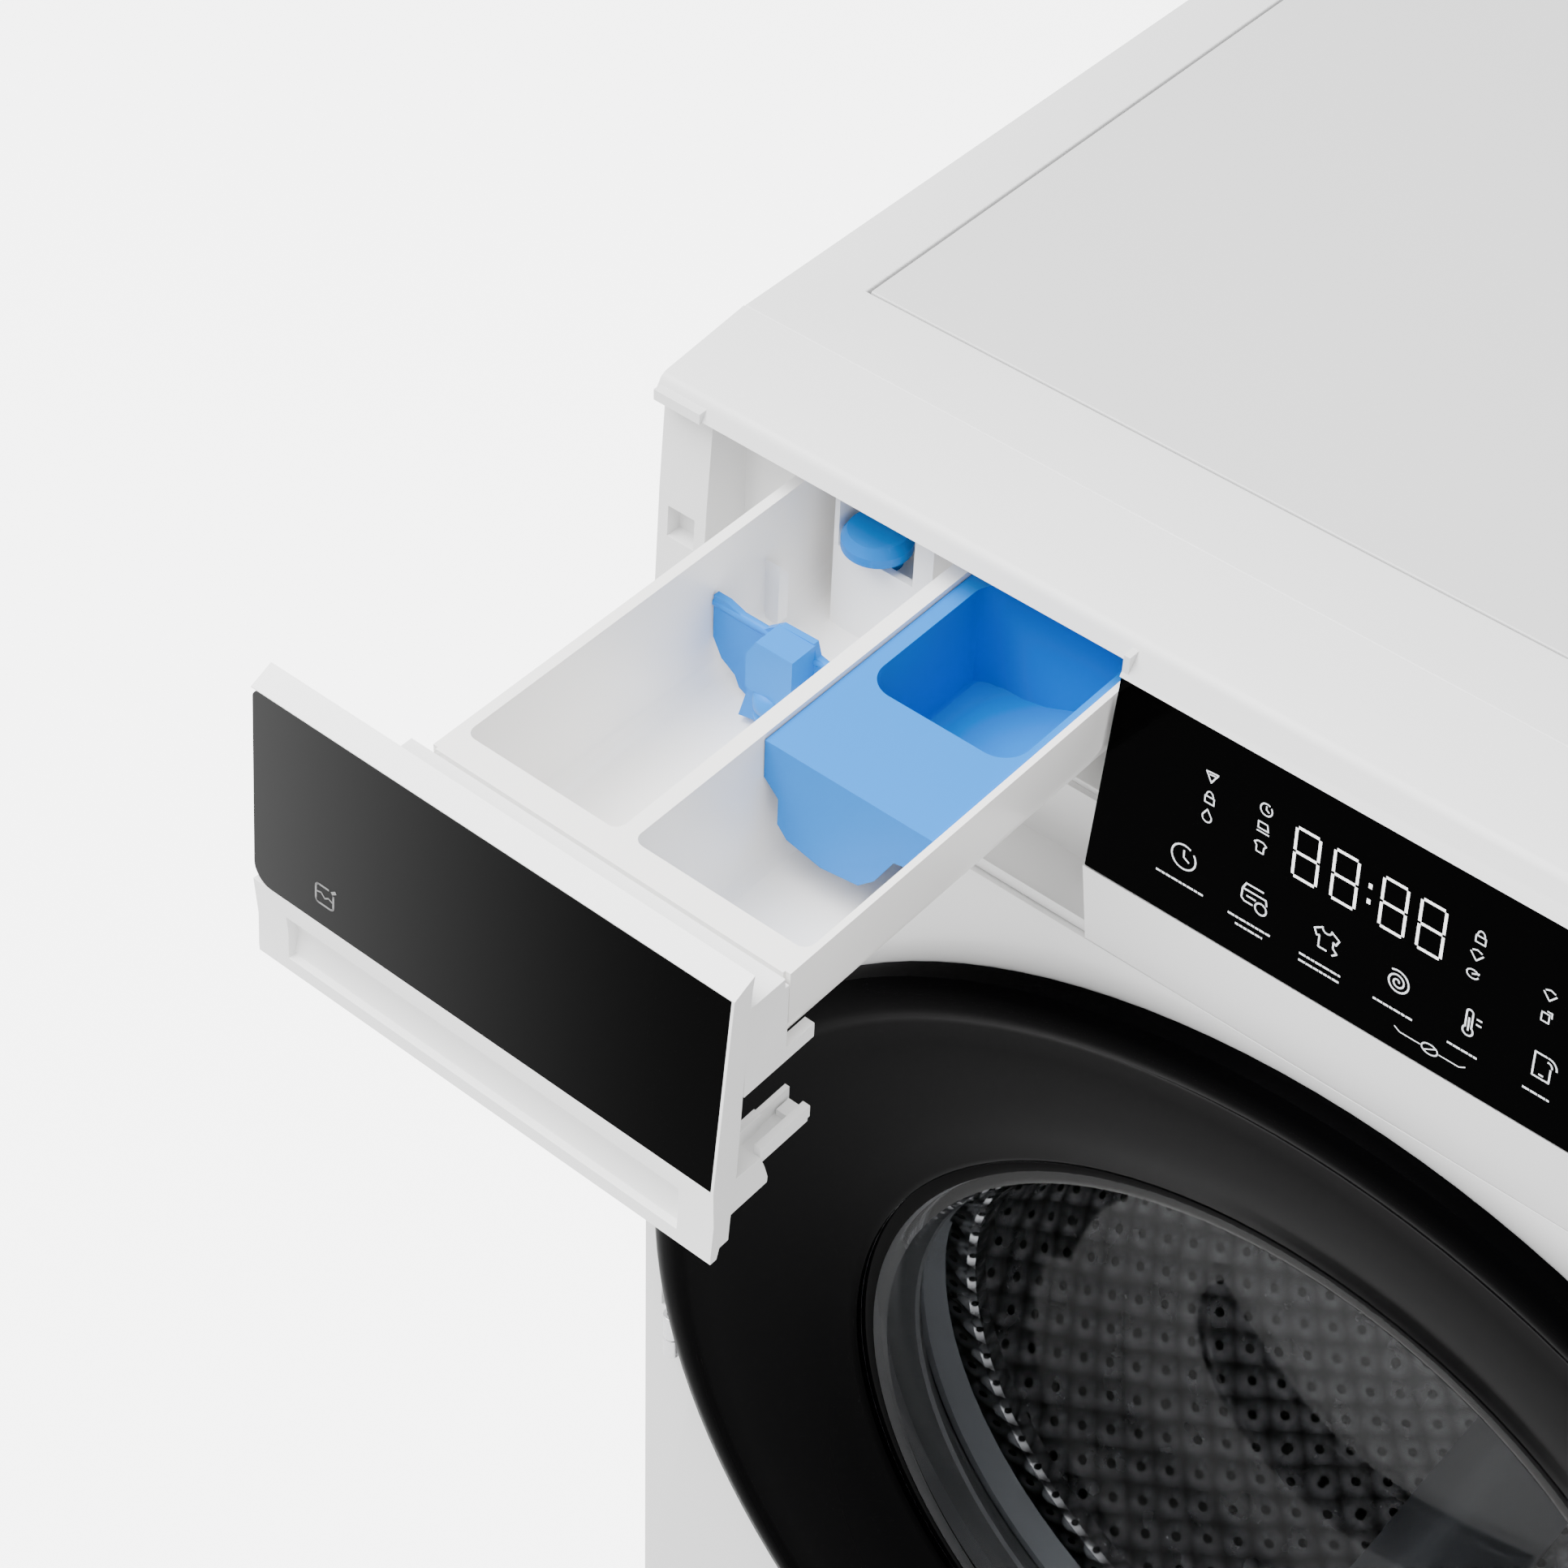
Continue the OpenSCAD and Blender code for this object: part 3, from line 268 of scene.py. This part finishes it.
NODE_MATS = {
    "white": "side_panels front_panel plinth rear_panel",
    "shell": "top_frame fascia", "white_plastic": "drawer_front dispenser_housing door_lock service_flap",
    "worktop": "worktop_panel", "tray": "drawer_tray",
    "glass_black": "control_glass", "drawer_black_painted_reflection": "drawer_glass", "ring_black": "door_ring",
    "window": "door_glass",
    "grey": "back_cover transit_caps drain_outlet control_box inlet_valve", "frame_grey": "door_inner_frame",
    "dark": "cable_gland foot_front_left foot_front_right foot_rear_left foot_rear_right filter_cap drain_pump",
    "tub": "tub_front tub_rear drum_lifters", "blue": "softener_insert siphon_cap detergent_flap",
    "board": "display_board", "zinc": "base_pan cross_brace rear_screws foot_locknuts damper_tubes",
    "steel": "hinge_pins hinge_arms bearings damper_rods suspension_springs door_hook heater",
    "drum": "drum_shell", "cast": "drum_spider drum_pulley motor_pulley", "iron": "motor",
    "concrete": "front_weights top_weight", "rubber_grey": "door_gasket",
    "rubber_black": "drive_belt fill_hose sump_hose", "knob": "programme_knob",
}
for key, names in NODE_MATS.items():
    for name in names.split():
        NODES[name].data.materials.clear()
        NODES[name].data.materials.append(PAINT[key])


# ------------------------------------------------------------------ pieces made here
def mesh_piece(name, verts, faces, body, paint, smooth=True):
    """A piece of its own, carried by a body."""
    mesh = bpy.data.meshes.new(name)
    mesh.from_pydata(verts, [], faces)
    if smooth:
        mesh.shade_smooth()
    o = bpy.data.objects.new(name, mesh)
    bpy.context.scene.collection.objects.link(o)
    mesh.materials.append(paint)
    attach(o, body)
    return o


def ring(radius, turn, steps):
    """The point at one step of a turn round the origin."""
    angle = 2 * math.pi * turn / steps
    return radius * math.cos(angle), radius * math.sin(angle)


# ------------------------------------------------------------------ soft edges on the CAD
def finish_node(name, width):
    """Rounds a CAD node's sharp edges and shades its curved faces smoothly."""
    node = NODES[name]
    mesh = node.data
    if "custom_normal" in mesh.attributes:
        mesh.attributes.remove(mesh.attributes["custom_normal"])
    mesh.shade_smooth()
    weld = node.modifiers.new("weld", "WELD")
    weld.merge_threshold = WELD_GAP
    if width:
        flat = node.modifiers.new("flat", "DECIMATE")
        flat.decimate_type = "DISSOLVE"
        flat.angle_limit = FLAT
        soft = node.modifiers.new("bevel", "BEVEL")
        soft.width = width
        soft.segments = 2
        soft.limit_method = "ANGLE"
        soft.angle_limit = SHARP
        soft.harden_normals = True
        soft.use_clamp_overlap = True
    else:
        cut = node.modifiers.new("edges", "EDGE_SPLIT")
        cut.split_angle = SHARP


BEVEL = {
    "fascia": 0.0009, "top_frame": 0.0012, "worktop_panel": 0.0007, "front_panel": 0.0006, "plinth": 0.0006,
    "side_panels": 0.0005, "drawer_front": 0.0007, "drawer_tray": 0.0007, "softener_insert": 0.0013,
    "detergent_flap": 0.0005, "siphon_cap": 0.0006, "drawer_glass": 0.0004, "control_glass": 0.0003,
    "programme_knob": 0.0006, "dispenser_housing": 0.0005, "back_cover": 0.0006, "inlet_valve": 0.0006,
    "drain_outlet": 0.0005, "cable_gland": 0.0005, "transit_caps": 0.0006, "service_flap": 0.0005,
    "filter_cap": 0.0008, "hinge_arms": 0.0004, "hinge_pins": 0.0004, "door_hook": 0.0006, "door_lock": 0.0006,
    "drain_pump": 0.0006, "top_weight": 0.003, "front_weights": 0.002, "motor": 0.0015, "control_box": 0.001,
    "foot_front_left": 0.0008, "foot_front_right": 0.0008, "foot_rear_left": 0.0008, "foot_rear_right": 0.0008,
    "rear_screws": 0.0005, "drum_lifters": 0.003, "drum_spider": 0.001, "cross_brace": 0.0004,
    "base_pan": 0.0006,
}
for name in NODES:
    finish_node(name, BEVEL.get(name, 0.0))

# ------------------------------------------------------------------ symbols on the glass
# The two panel glasses stand in one plane, which leans back
LEAN = math.radians(5.41)
GLASS_THICK = 0.0028
GLASS_UP = Vector((0, math.sin(LEAN), math.cos(LEAN)))
GLASS_OUT = Vector((0, -math.cos(LEAN), math.sin(LEAN)))
INK_LIFT = 0.00012          # how far the ink stands in front of its surface
SLANT = 0.11                # how far the panel's symbols lean sideways for each mm up
PEN = 0.62                  # stroke width of the large symbols, in mm
THIN = 0.5                  # and of the small ones
TINY = 1e-6                 # a stroke shorter than this is left out


def glass_middle(name):
    """The middle of a panel glass's front face, at X = 0."""
    lo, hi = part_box(name)
    y = (lo.y + hi.y - GLASS_THICK * math.cos(LEAN)) / 2
    z = (lo.z + GLASS_THICK * math.sin(LEAN) + hi.z) / 2
    return Vector((0, y, z))


def arc(cx, cy, r, a1=0, a2=360, n=24, ry=None):
    """Points of an arc between two angles in degrees; ry makes it an ellipse."""
    ry = r if ry is None else ry
    angles = [math.radians(a1 + (a2 - a1) * i / n) for i in range(n + 1)]
    return [(cx + r * math.cos(a), cy + ry * math.sin(a)) for a in angles]


def symbol(name, middle, strokes, body, paint, slant):
    """Thin printed strokes on a glass, each a list of (x, up) in mm and a width in mm."""
    verts, faces = [], []

    def corner(x, up):
        across = Vector((1, 0, 0)) * ((x - slant * up) / 1000)
        verts.append(middle + across + GLASS_UP * (up / 1000) + GLASS_OUT * INK_LIFT)
        return len(verts) - 1

    for points, wide in strokes:
        for (x1, y1), (x2, y2) in zip(points, points[1:]):
            length = math.hypot(x2 - x1, y2 - y1)
            if length < TINY:
                continue
            dx, dy = (x2 - x1) / length * wide / 2, (y2 - y1) / length * wide / 2
            x1, y1, x2, y2 = x1 - dx / 2, y1 - dy / 2, x2 + dx / 2, y2 + dy / 2
            faces.append([corner(x1 - dy, y1 + dx), corner(x1 + dy, y1 - dx),
                          corner(x2 + dy, y2 - dx), corner(x2 - dy, y2 + dx)])
    mesh_piece(name, verts, faces, body, paint, smooth=False)


def shift(strokes, x, y):
    return [([(px + x, py + y) for px, py in points], wide) for points, wide in strokes]


clock = [(arc(0, 0, 4.6, 60, 395), PEN), ([(0, 2.6), (0, 0), (2.0, -1.2)], PEN)]
basket = [([(-4.6, 1.6), (-3.4, 4.0), (3.0, 4.0)], PEN),
          ([(-4.6, 1.6), (-4.8, -2.0), (-3.6, -3.0), (-0.6, -3.0)], PEN),
          ([(-4.6, 1.6), (4.2, 1.6), (4.6, -0.4)], PEN),
          ([(-2.8, -0.6), (0.4, -0.6)], PEN),
          (arc(2.6, -2.8, 2.1), PEN)]
shirt = [([(-1.8, 4.2), (-4.6, 2.4), (-3.6, 0.2), (-2.6, 0.7), (-2.6, -3.8), (0.4, -3.8)], PEN),
         (arc(0, 4.4, 1.8, 180, 360, 10), PEN),
         ([(1.8, 4.2), (4.6, 2.4), (3.6, 0.2), (2.6, 0.7), (2.6, -1.4)], PEN),
         ([(2.6, -4.4), (4.2, -3.0), (2.6, -1.6)], PEN)]
spiral = [([((0.5 + a / 205) * math.cos(math.radians(a)), (0.5 + a / 205) * math.sin(math.radians(a)))
            for a in range(0, 860, 20)], PEN)]
thermo = [([(-1.1, 4.4), (-1.1, -1.4)], PEN), ([(1.1, 4.4), (1.1, -1.4)], PEN),
          (arc(0, 4.4, 1.1, 0, 180, 8), PEN), (arc(0, -2.6, 1.8, 130, 410, 16), PEN),
          ([(0, 2.4), (0, -2.4)], PEN), ([(2.6, 3.4), (4.2, 3.4)], PEN), ([(2.6, 1.4), (4.2, 1.4)], PEN)]
phone = [([(0.8, 4.4), (-3.2, 4.4), (-3.2, -4.6), (2.6, -4.6), (2.6, 0.4)], PEN),
         ([(-0.9, -3.3), (0.4, -3.3)], PEN),
         (arc(1.4, 1.2, 1.6, 0, 90, 6), PEN), (arc(1.4, 1.2, 3.2, 0, 90, 8), PEN)]
drop = [(arc(0, -0.6, 1.7, 140, 400, 14), THIN), ([(-1.35, 0.4), (0, 2.5), (1.35, 0.4)], THIN)]
small_clock = [(arc(0, 0, 2.2, 60, 395, 16), THIN), ([(0, 1.2), (0, 0), (1.0, -0.6)], THIN)]
small_box = [([(-1.9, 2.0), (1.4, 2.0), (1.9, -0.4), (-1.9, -0.4), (-1.9, 2.0)], THIN),
             ([(-2.2, -1.6), (2.2, -1.6)], THIN)]
small_shirt = [([(-2.2, 1.2), (-1.0, 2.1), (1.0, 2.1), (2.2, 1.2), (1.4, 0.2), (1.3, -2.0), (-1.3, -2.0),
                 (-1.4, 0.2), (-2.2, 1.2)], THIN)]
small_lock = [([(-1.7, 0.2), (1.7, 0.2), (1.7, -2.2), (-1.7, -2.2), (-1.7, 0.2)], THIN),
              (arc(0, 0.3, 1.3, 0, 180, 10, 2.0), THIN)]
small_leaf = [(arc(0, 0, 2.1, 20, 340, 14, 1.6), THIN), ([(-0.2, 0), (2.2, 1.1)], THIN)]
small_wave = [([(-2.2, 0.8), (0, -1.8), (2.2, 0.8)], THIN), ([(-1.6, 1.6), (0, 2.2), (1.6, 1.6)], THIN)]
small_fan = [([(-2.2, 1.8), (2.2, 2.2), (-0.2, -1.8), (-2.2, 1.8)], THIN), ([(-1.0, 1.0), (1.0, 1.2)], THIN)]
small_link = [([(-1.4, -2.0), (-1.4, 1.2), (1.2, 1.2), (1.2, -2.0), (-1.4, -2.0)], THIN),
              ([(0.4, 2.2), (2.0, 2.2), (2.0, 0.4)], THIN)]
# The knob-like mark under the captions: two dashes and an oval between them
mode_mark = [([(14.6, -30.2), (16.6, -31.4), (24.0, -31.4)], 0.4),
             ([(31.0, -31.4), (38.2, -31.4), (40.2, -30.2)], 0.4),
             (arc(27.5, -31.3, 2.9, 0, 360, 20, 1.9), THIN),
             ([(25.6, -32.4), (29.4, -30.2)], 0.4)]
drawer_mark = [(arc(-2.6, 2.4, 1.4, 90, 180, 5) + arc(-2.6, -2.6, 1.4, 180, 270, 5)
                + arc(2.4, -2.6, 1.4, 270, 360, 5) + arc(2.4, 2.0, 1.4, 0, 10, 1), 0.8),
               ([(-2.6, 3.8), (1.6, 3.8)], 0.8),
               ([(-3.4, 0.4), (-1.6, 0.8), (0, -0.8), (1.6, 0.2), (3.4, -0.6)], 0.6),
               ([(3.2, 3.4), (4.6, 4.4)], 1.2)]

# Where things stand on the glass, in mm right of and above its middle
LARGE_ROW_UP, LARGE_ROW_IN = -13.6, 1.5
LARGE_ROW = ((-65.4, clock), (-38.2, basket), (-11.2, shirt), (15.0, spiral), (40.6, thermo), (66.8, phone))
SMALL_ONES = ((-61.6, 21.6, small_fan), (-61.0, 14.0, small_lock), (-60.6, 6.8, drop),
              (-41.2, 21.4, small_clock), (-40.8, 14.0, small_box), (-40.4, 6.6, small_shirt),
              (36.6, 19.6, small_lock), (36.9, 12.4, small_wave), (37.3, 5.2, small_leaf),
              (62.2, 13.0, small_wave), (62.8, 5.0, small_link))
# middle, half its length and height of each caption's line
CAPTIONS = ((-65, 9, -24), (-38, 8, -24.4), (-38, 5, -27), (-11.4, 7.5, -24), (-11.4, 7.5, -26.6),
            (15.6, 7, -24.4), (41.2, 5.5, -24.6), (67, 4.5, -24.6))
CAPTION_IN, CAPTION_WIDE, DASH_GAP = 2.6, 0.75, 0.7
DIGITS_UP, DIGITS_X = 3.4, (-27.4, -13.3, 4.4, 17.9)
DIGIT_WIDE, DIGIT_HIGH, DIGIT_GAP, DIGIT_PEN = 8.6, 18.4, 0.75, 1.05
DOTS_UP, DOT_HALF, DOT_WIDE = (9.6, 15.4), 0.6, 1.3
DRAWER_MARK_X, DRAWER_MARK_UP = -264.8, -26.4


def digit(x, y):
    """All seven segments of one digit, its lower left corner at (x, y)."""
    right, top, waist, gap = x + DIGIT_WIDE, y + DIGIT_HIGH, y + DIGIT_HIGH / 2, DIGIT_GAP
    segments = [[(x + gap, up), (right - gap, up)] for up in (y, waist, top)]
    for side in (x, right):
        segments.append([(side, y + gap), (side, waist - gap)])
        segments.append([(side, waist + gap), (side, top - gap)])
    return [(segment, DIGIT_PEN) for segment in segments]


panel = []
for x, shape in LARGE_ROW:
    panel += shift(shape, x - LARGE_ROW_IN, LARGE_ROW_UP)
for x, up, shape in SMALL_ONES:
    panel += shift(shape, x + SLANT * up, up)
# Short dashes where a caption would stand
for x, half, up in CAPTIONS:
    dash, end = x - half - CAPTION_IN, x + half - CAPTION_IN
    while dash < end:
        step = random.choice((1.6, 2.2, 2.8))
        panel.append(([(dash, up), (min(dash + step - DASH_GAP, end), up)], CAPTION_WIDE))
        dash += step
panel += mode_mark

digits = []
for x in DIGITS_X:
    digits += digit(x, DIGITS_UP)
for up in DOTS_UP:
    digits.append(([(0.0, up - DOT_HALF), (0.0, up + DOT_HALF)], DOT_WIDE))

ink = Mat("panel_ink").set(color=(0.75, 0.77, 0.80), rough=0.5, emit=(0.75, 0.78, 0.82), emit_k=0.32)
ink.vary_rough(300, 0.4, 0.6)
lit = Mat("lit_segment").set(color=(0.95, 0.95, 0.95), rough=0.4, emit=(1.0, 1.0, 1.0), emit_k=0.9)
lit.vary_rough(300, 0.35, 0.5)
faint = Mat("faint_ink").set(rough=0.5).tint((0.20, 0.20, 0.20), 0.1, 300)
faint.vary_rough(300, 0.4, 0.6)
front_glass = glass_middle("control_glass")
drawer_strokes = shift(drawer_mark, DRAWER_MARK_X, DRAWER_MARK_UP)
symbol("panel_symbols", front_glass, panel, "cabinet", ink.material, SLANT)
symbol("display_digits", front_glass, digits, "cabinet", lit.material, SLANT)
symbol("drawer_symbol", glass_middle("drawer_glass"), drawer_strokes, "drawer", faint.material, 0.0)

# ------------------------------------------------------------------ door
# The dark border round the window: (radius, machine Y) in mm, turned about the drum's axis
BORDER = ((190.4, 12.35), (189, 12.25), (184.6, 12.25), (184.2, 12.42))
BORDER_STEPS = 160
axis_z = (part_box("door_ring")[0].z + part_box("door_ring")[1].z) / 2
verts, faces = [], []
for step in range(BORDER_STEPS):
    for radius, y in BORDER:
        dx, dz = ring(radius / 1000, step, BORDER_STEPS)
        verts.append((dx, y / 1000 - Y_SHIFT, axis_z + dz))
    here, after = step * 4, (step + 1) % BORDER_STEPS * 4
    faces += [(here + k, after + k, after + k + 1, here + k + 1) for k in range(3)]
mesh_piece("window_border", verts, faces, "door", PAINT["ring_black"])

# The flap's ribbed post, in front of its lower half: (radius, height) in mm
POST = ((0.0, 20.4), (5.2, 20.2), (7.0, 18.8), (7.4, 15.0), (7.2, 12.6), (6.0, 12.0), (6.0, 11.0), (7.0, 10.4),
        (7.0, 8.8), (5.8, 8.2), (5.8, 7.2), (6.6, 6.6), (6.4, 4.6), (4.6, 3.2), (0.0, 3.0))
POST_STEPS = 48
POST_FROM_RIGHT, POST_FROM_FRONT = 0.0296, 0.0052
lo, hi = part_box("detergent_flap")
verts, faces = [], []
for step in range(POST_STEPS):
    for radius, up in POST:
        dx, dy = ring(radius / 1000, step, POST_STEPS)
        verts.append((hi.x - POST_FROM_RIGHT + dx, lo.y + POST_FROM_FRONT + dy, lo.z + up / 1000))
    here, after = step * len(POST), (step + 1) % POST_STEPS * len(POST)
    faces += [(here + k, here + k + 1, after + k + 1, after + k) for k in range(len(POST) - 1)]
mesh_piece("flap_post", verts, faces, "flap", PAINT["blue"])

# ------------------------------------------------------------------ hidden machinery
WIRE_SIDES = 10
COIL_STEPS = 20             # points in one turn of a spring
COIL_TURNS = 21
COIL_RADIUS, COIL_WIRE = 0.011, 0.0019


def sweep(points, frames, wire):
    """A round wire along points; frames holds each point's two cross directions."""
    verts, faces = [], []
    for point, (first, second) in zip(points, frames):
        for side in range(WIRE_SIDES):
            u, v = ring(wire, side, WIRE_SIDES)
            verts.append(point + first * u + second * v)
    last = (len(points) - 1) * WIRE_SIDES
    for here in range(0, last, WIRE_SIDES):
        for k in range(WIRE_SIDES):
            j = (k + 1) % WIRE_SIDES
            faces.append((here + k, here + j, here + WIRE_SIDES + j, here + WIRE_SIDES + k))
    faces.append(tuple(reversed(range(WIRE_SIDES))))
    faces.append(tuple(last + k for k in range(WIRE_SIDES)))
    return verts, faces


def coils(name, node):
    """A close-wound coil spring on each side, in place of the plain tubes."""
    lo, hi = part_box(node)
    verts, faces = [], []
    steps = COIL_TURNS * COIL_STEPS
    rise = hi.z - lo.z - 2 * COIL_WIRE
    for x in (lo.x + COIL_RADIUS + COIL_WIRE, hi.x - COIL_RADIUS - COIL_WIRE):
        points, frames = [], []
        for i in range(steps + 1):
            out = Vector((*ring(1, i, COIL_STEPS), 0))
            on_axis = Vector((x, (lo.y + hi.y) / 2, lo.z + COIL_WIRE + rise * i / steps))
            points.append(on_axis + out * COIL_RADIUS)
            frames.append((out, Vector((0, 0, 1))))
        more_verts, more_faces = sweep(points, frames, COIL_WIRE)
        faces += [tuple(len(verts) + k for k in face) for face in more_faces]
        verts += more_verts
    return mesh_piece(name, verts, faces, "cabinet", PAINT["steel"])


springs = coils("coil_springs", "suspension_springs")
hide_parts("suspension_springs")

CLAMP_STEPS = 64
BAND_HALF, BAND_THICK = 0.0045, 0.0009
SCREW_BLOCK = (0.007, 0.006, 0.004)     # half its width, its depth and half its height
BOX_FACES = ((0, 1, 3, 2), (4, 6, 7, 5), (0, 4, 5, 1), (2, 3, 7, 6), (0, 2, 6, 4), (1, 5, 7, 3))


def clamp(name, node, part_way_up, radius):
    """A worm-drive hose clamp: a band with a screw block."""
    lo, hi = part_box(node)
    middle = (lo + hi) / 2
    z = lo.z + (hi.z - lo.z) * part_way_up
    outer = radius + BAND_THICK
    loop = ((radius, -BAND_HALF), (outer, -BAND_HALF), (outer, BAND_HALF), (radius, BAND_HALF))
    verts, faces = [], []
    for step in range(CLAMP_STEPS):
        for r, up in loop:
            dx, dy = ring(r, step, CLAMP_STEPS)
            verts.append((middle.x + dx, middle.y + dy, z + up))
        here, after = step * 4, (step + 1) % CLAMP_STEPS * 4
        faces += [(here + k, after + k, after + (k + 1) % 4, here + (k + 1) % 4) for k in range(4)]
    first = len(verts)
    wide, deep, high = SCREW_BLOCK
    verts += [(middle.x + x, middle.y - radius - y, z + up)
              for x in (-wide, wide) for y in (0.0, deep) for up in (-high, high)]
    faces += [tuple(first + k for k in face) for face in BOX_FACES]
    mesh_piece(name, verts, faces, "cabinet", PAINT["steel"], smooth=False)


clamp("fill_hose_clamp", "fill_hose", 0.06, 0.0236)
clamp("sump_hose_clamp", "sump_hose", 0.93, 0.0268)

# Cross slots in the screws that hold the back cover
SCREWS_X = (-0.204, 0.204)
SCREWS_Z = (0.150, 0.320, 0.490, 0.670)
SCREW_SUNK = 0.0016         # from the screws' rearmost point to their heads' faces
SLOT_LONG, SLOT_SHORT = 0.0028, 0.0005
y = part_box("rear_screws")[1].y - SCREW_SUNK + INK_LIFT
verts, faces = [], []
for x in SCREWS_X:
    for z in SCREWS_Z:
        for wide, high in ((SLOT_LONG, SLOT_SHORT), (SLOT_SHORT, SLOT_LONG)):
            first = len(verts)
            verts += [(x - wide, y, z - high), (x - wide, y, z + high), (x + wide, y, z + high),
                      (x + wide, y, z - high)]
            faces.append((first, first + 1, first + 2, first + 3))
mesh_piece("screw_slots", verts, faces, "cabinet", PAINT["dark"], smooth=False)

# ------------------------------------------------------------------ stage
FLOOR = 12                  # half the floor's side
FLOOR_LIT, FLOOR_SEEN = 0.3, 4.0        # the floor's glow for other surfaces, and for the camera
WORLD_LIT, WORLD_SEEN = 1.0, 5.2
floor_mesh = bpy.data.meshes.new("floor")
corners = [(-FLOOR, -FLOOR, 0), (FLOOR, -FLOOR, 0), (FLOOR, FLOOR, 0), (-FLOOR, FLOOR, 0)]
floor_mesh.from_pydata(corners, [], [(0, 1, 2, 3)])
floor = bpy.data.objects.new("floor", floor_mesh)
bpy.context.scene.collection.objects.link(floor)
pale = Mat("floor_pale").set(rough=0.7, spec=0.2, emit=(1.0, 1.0, 1.0)).tint((0.9, 0.9, 0.9), 0.01, 1.0)
seen = pale.node("ShaderNodeLightPath").outputs["Is Camera Ray"]
pale.link(pale.ramp(seen, FLOOR_LIT, FLOOR_SEEN), pale.shader.inputs["Emission Strength"])
floor.data.materials.append(pale.material)

world = bpy.data.worlds.new("world")
bpy.context.scene.world = world
world.use_nodes = True
sky = world.node_tree.nodes["Background"]
sky.inputs["Color"].default_value = (1, 1, 1, 1)
look = world.node_tree.nodes.new("ShaderNodeLightPath")
level = world.node_tree.nodes.new("ShaderNodeMapRange")
level.inputs["To Min"].default_value = WORLD_LIT
level.inputs["To Max"].default_value = WORLD_SEEN
world.node_tree.links.new(look.outputs["Is Camera Ray"], level.inputs["Value"])
world.node_tree.links.new(level.outputs["Result"], sky.inputs["Strength"])

LIGHT_AIM = (0, 0, 0.6)


def area(name, place, size, power):
    """A rectangular lamp that points at the machine."""
    light = bpy.data.lights.new(name, "AREA")
    light.shape = "RECTANGLE"
    light.size, light.size_y = size
    light.energy = power
    lamp = bpy.data.objects.new(name, light)
    lamp.location = place
    lamp.rotation_euler = (Vector(LIGHT_AIM) - Vector(place)).to_track_quat("-Z", "Y").to_euler()
    bpy.context.scene.collection.objects.link(lamp)
    return lamp


key = area("key", (-0.8, -0.9, 2.8), (2.0, 1.8), 160)
fill = area("fill", (2.2, -1.0, 1.6), (1.4, 1.4), 4)

# ------------------------------------------------------------------ camera
AZIMUTH, ELEVATION, ROLL = (math.radians(angle) for angle in (38.43, 44.64, 2.36))
CAMERA_X, CAMERA_Y, CAMERA_Z = 0.31522, -0.68992, 1.56947
back = Vector((math.sin(AZIMUTH) * math.cos(ELEVATION), -math.cos(AZIMUTH) * math.cos(ELEVATION),
               math.sin(ELEVATION)))
level_right = Vector((math.cos(AZIMUTH), math.sin(AZIMUTH), 0))
level_up = back.cross(level_right)
right = level_right * math.cos(ROLL) + level_up * math.sin(ROLL)
up = -level_right * math.sin(ROLL) + level_up * math.cos(ROLL)
camera_data = bpy.data.cameras.new("photo_camera")
camera_data.lens = 80.0
camera_data.sensor_width = 36
camera_data.clip_start = 0.05
camera = bpy.data.objects.new("photo_camera", camera_data)
place = Matrix((right, up, back)).transposed().to_4x4()
place.translation = Vector((CAMERA_X, CAMERA_Y - Y_SHIFT, CAMERA_Z))
camera.matrix_world = place
bpy.context.scene.collection.objects.link(camera)
bpy.context.scene.camera = camera
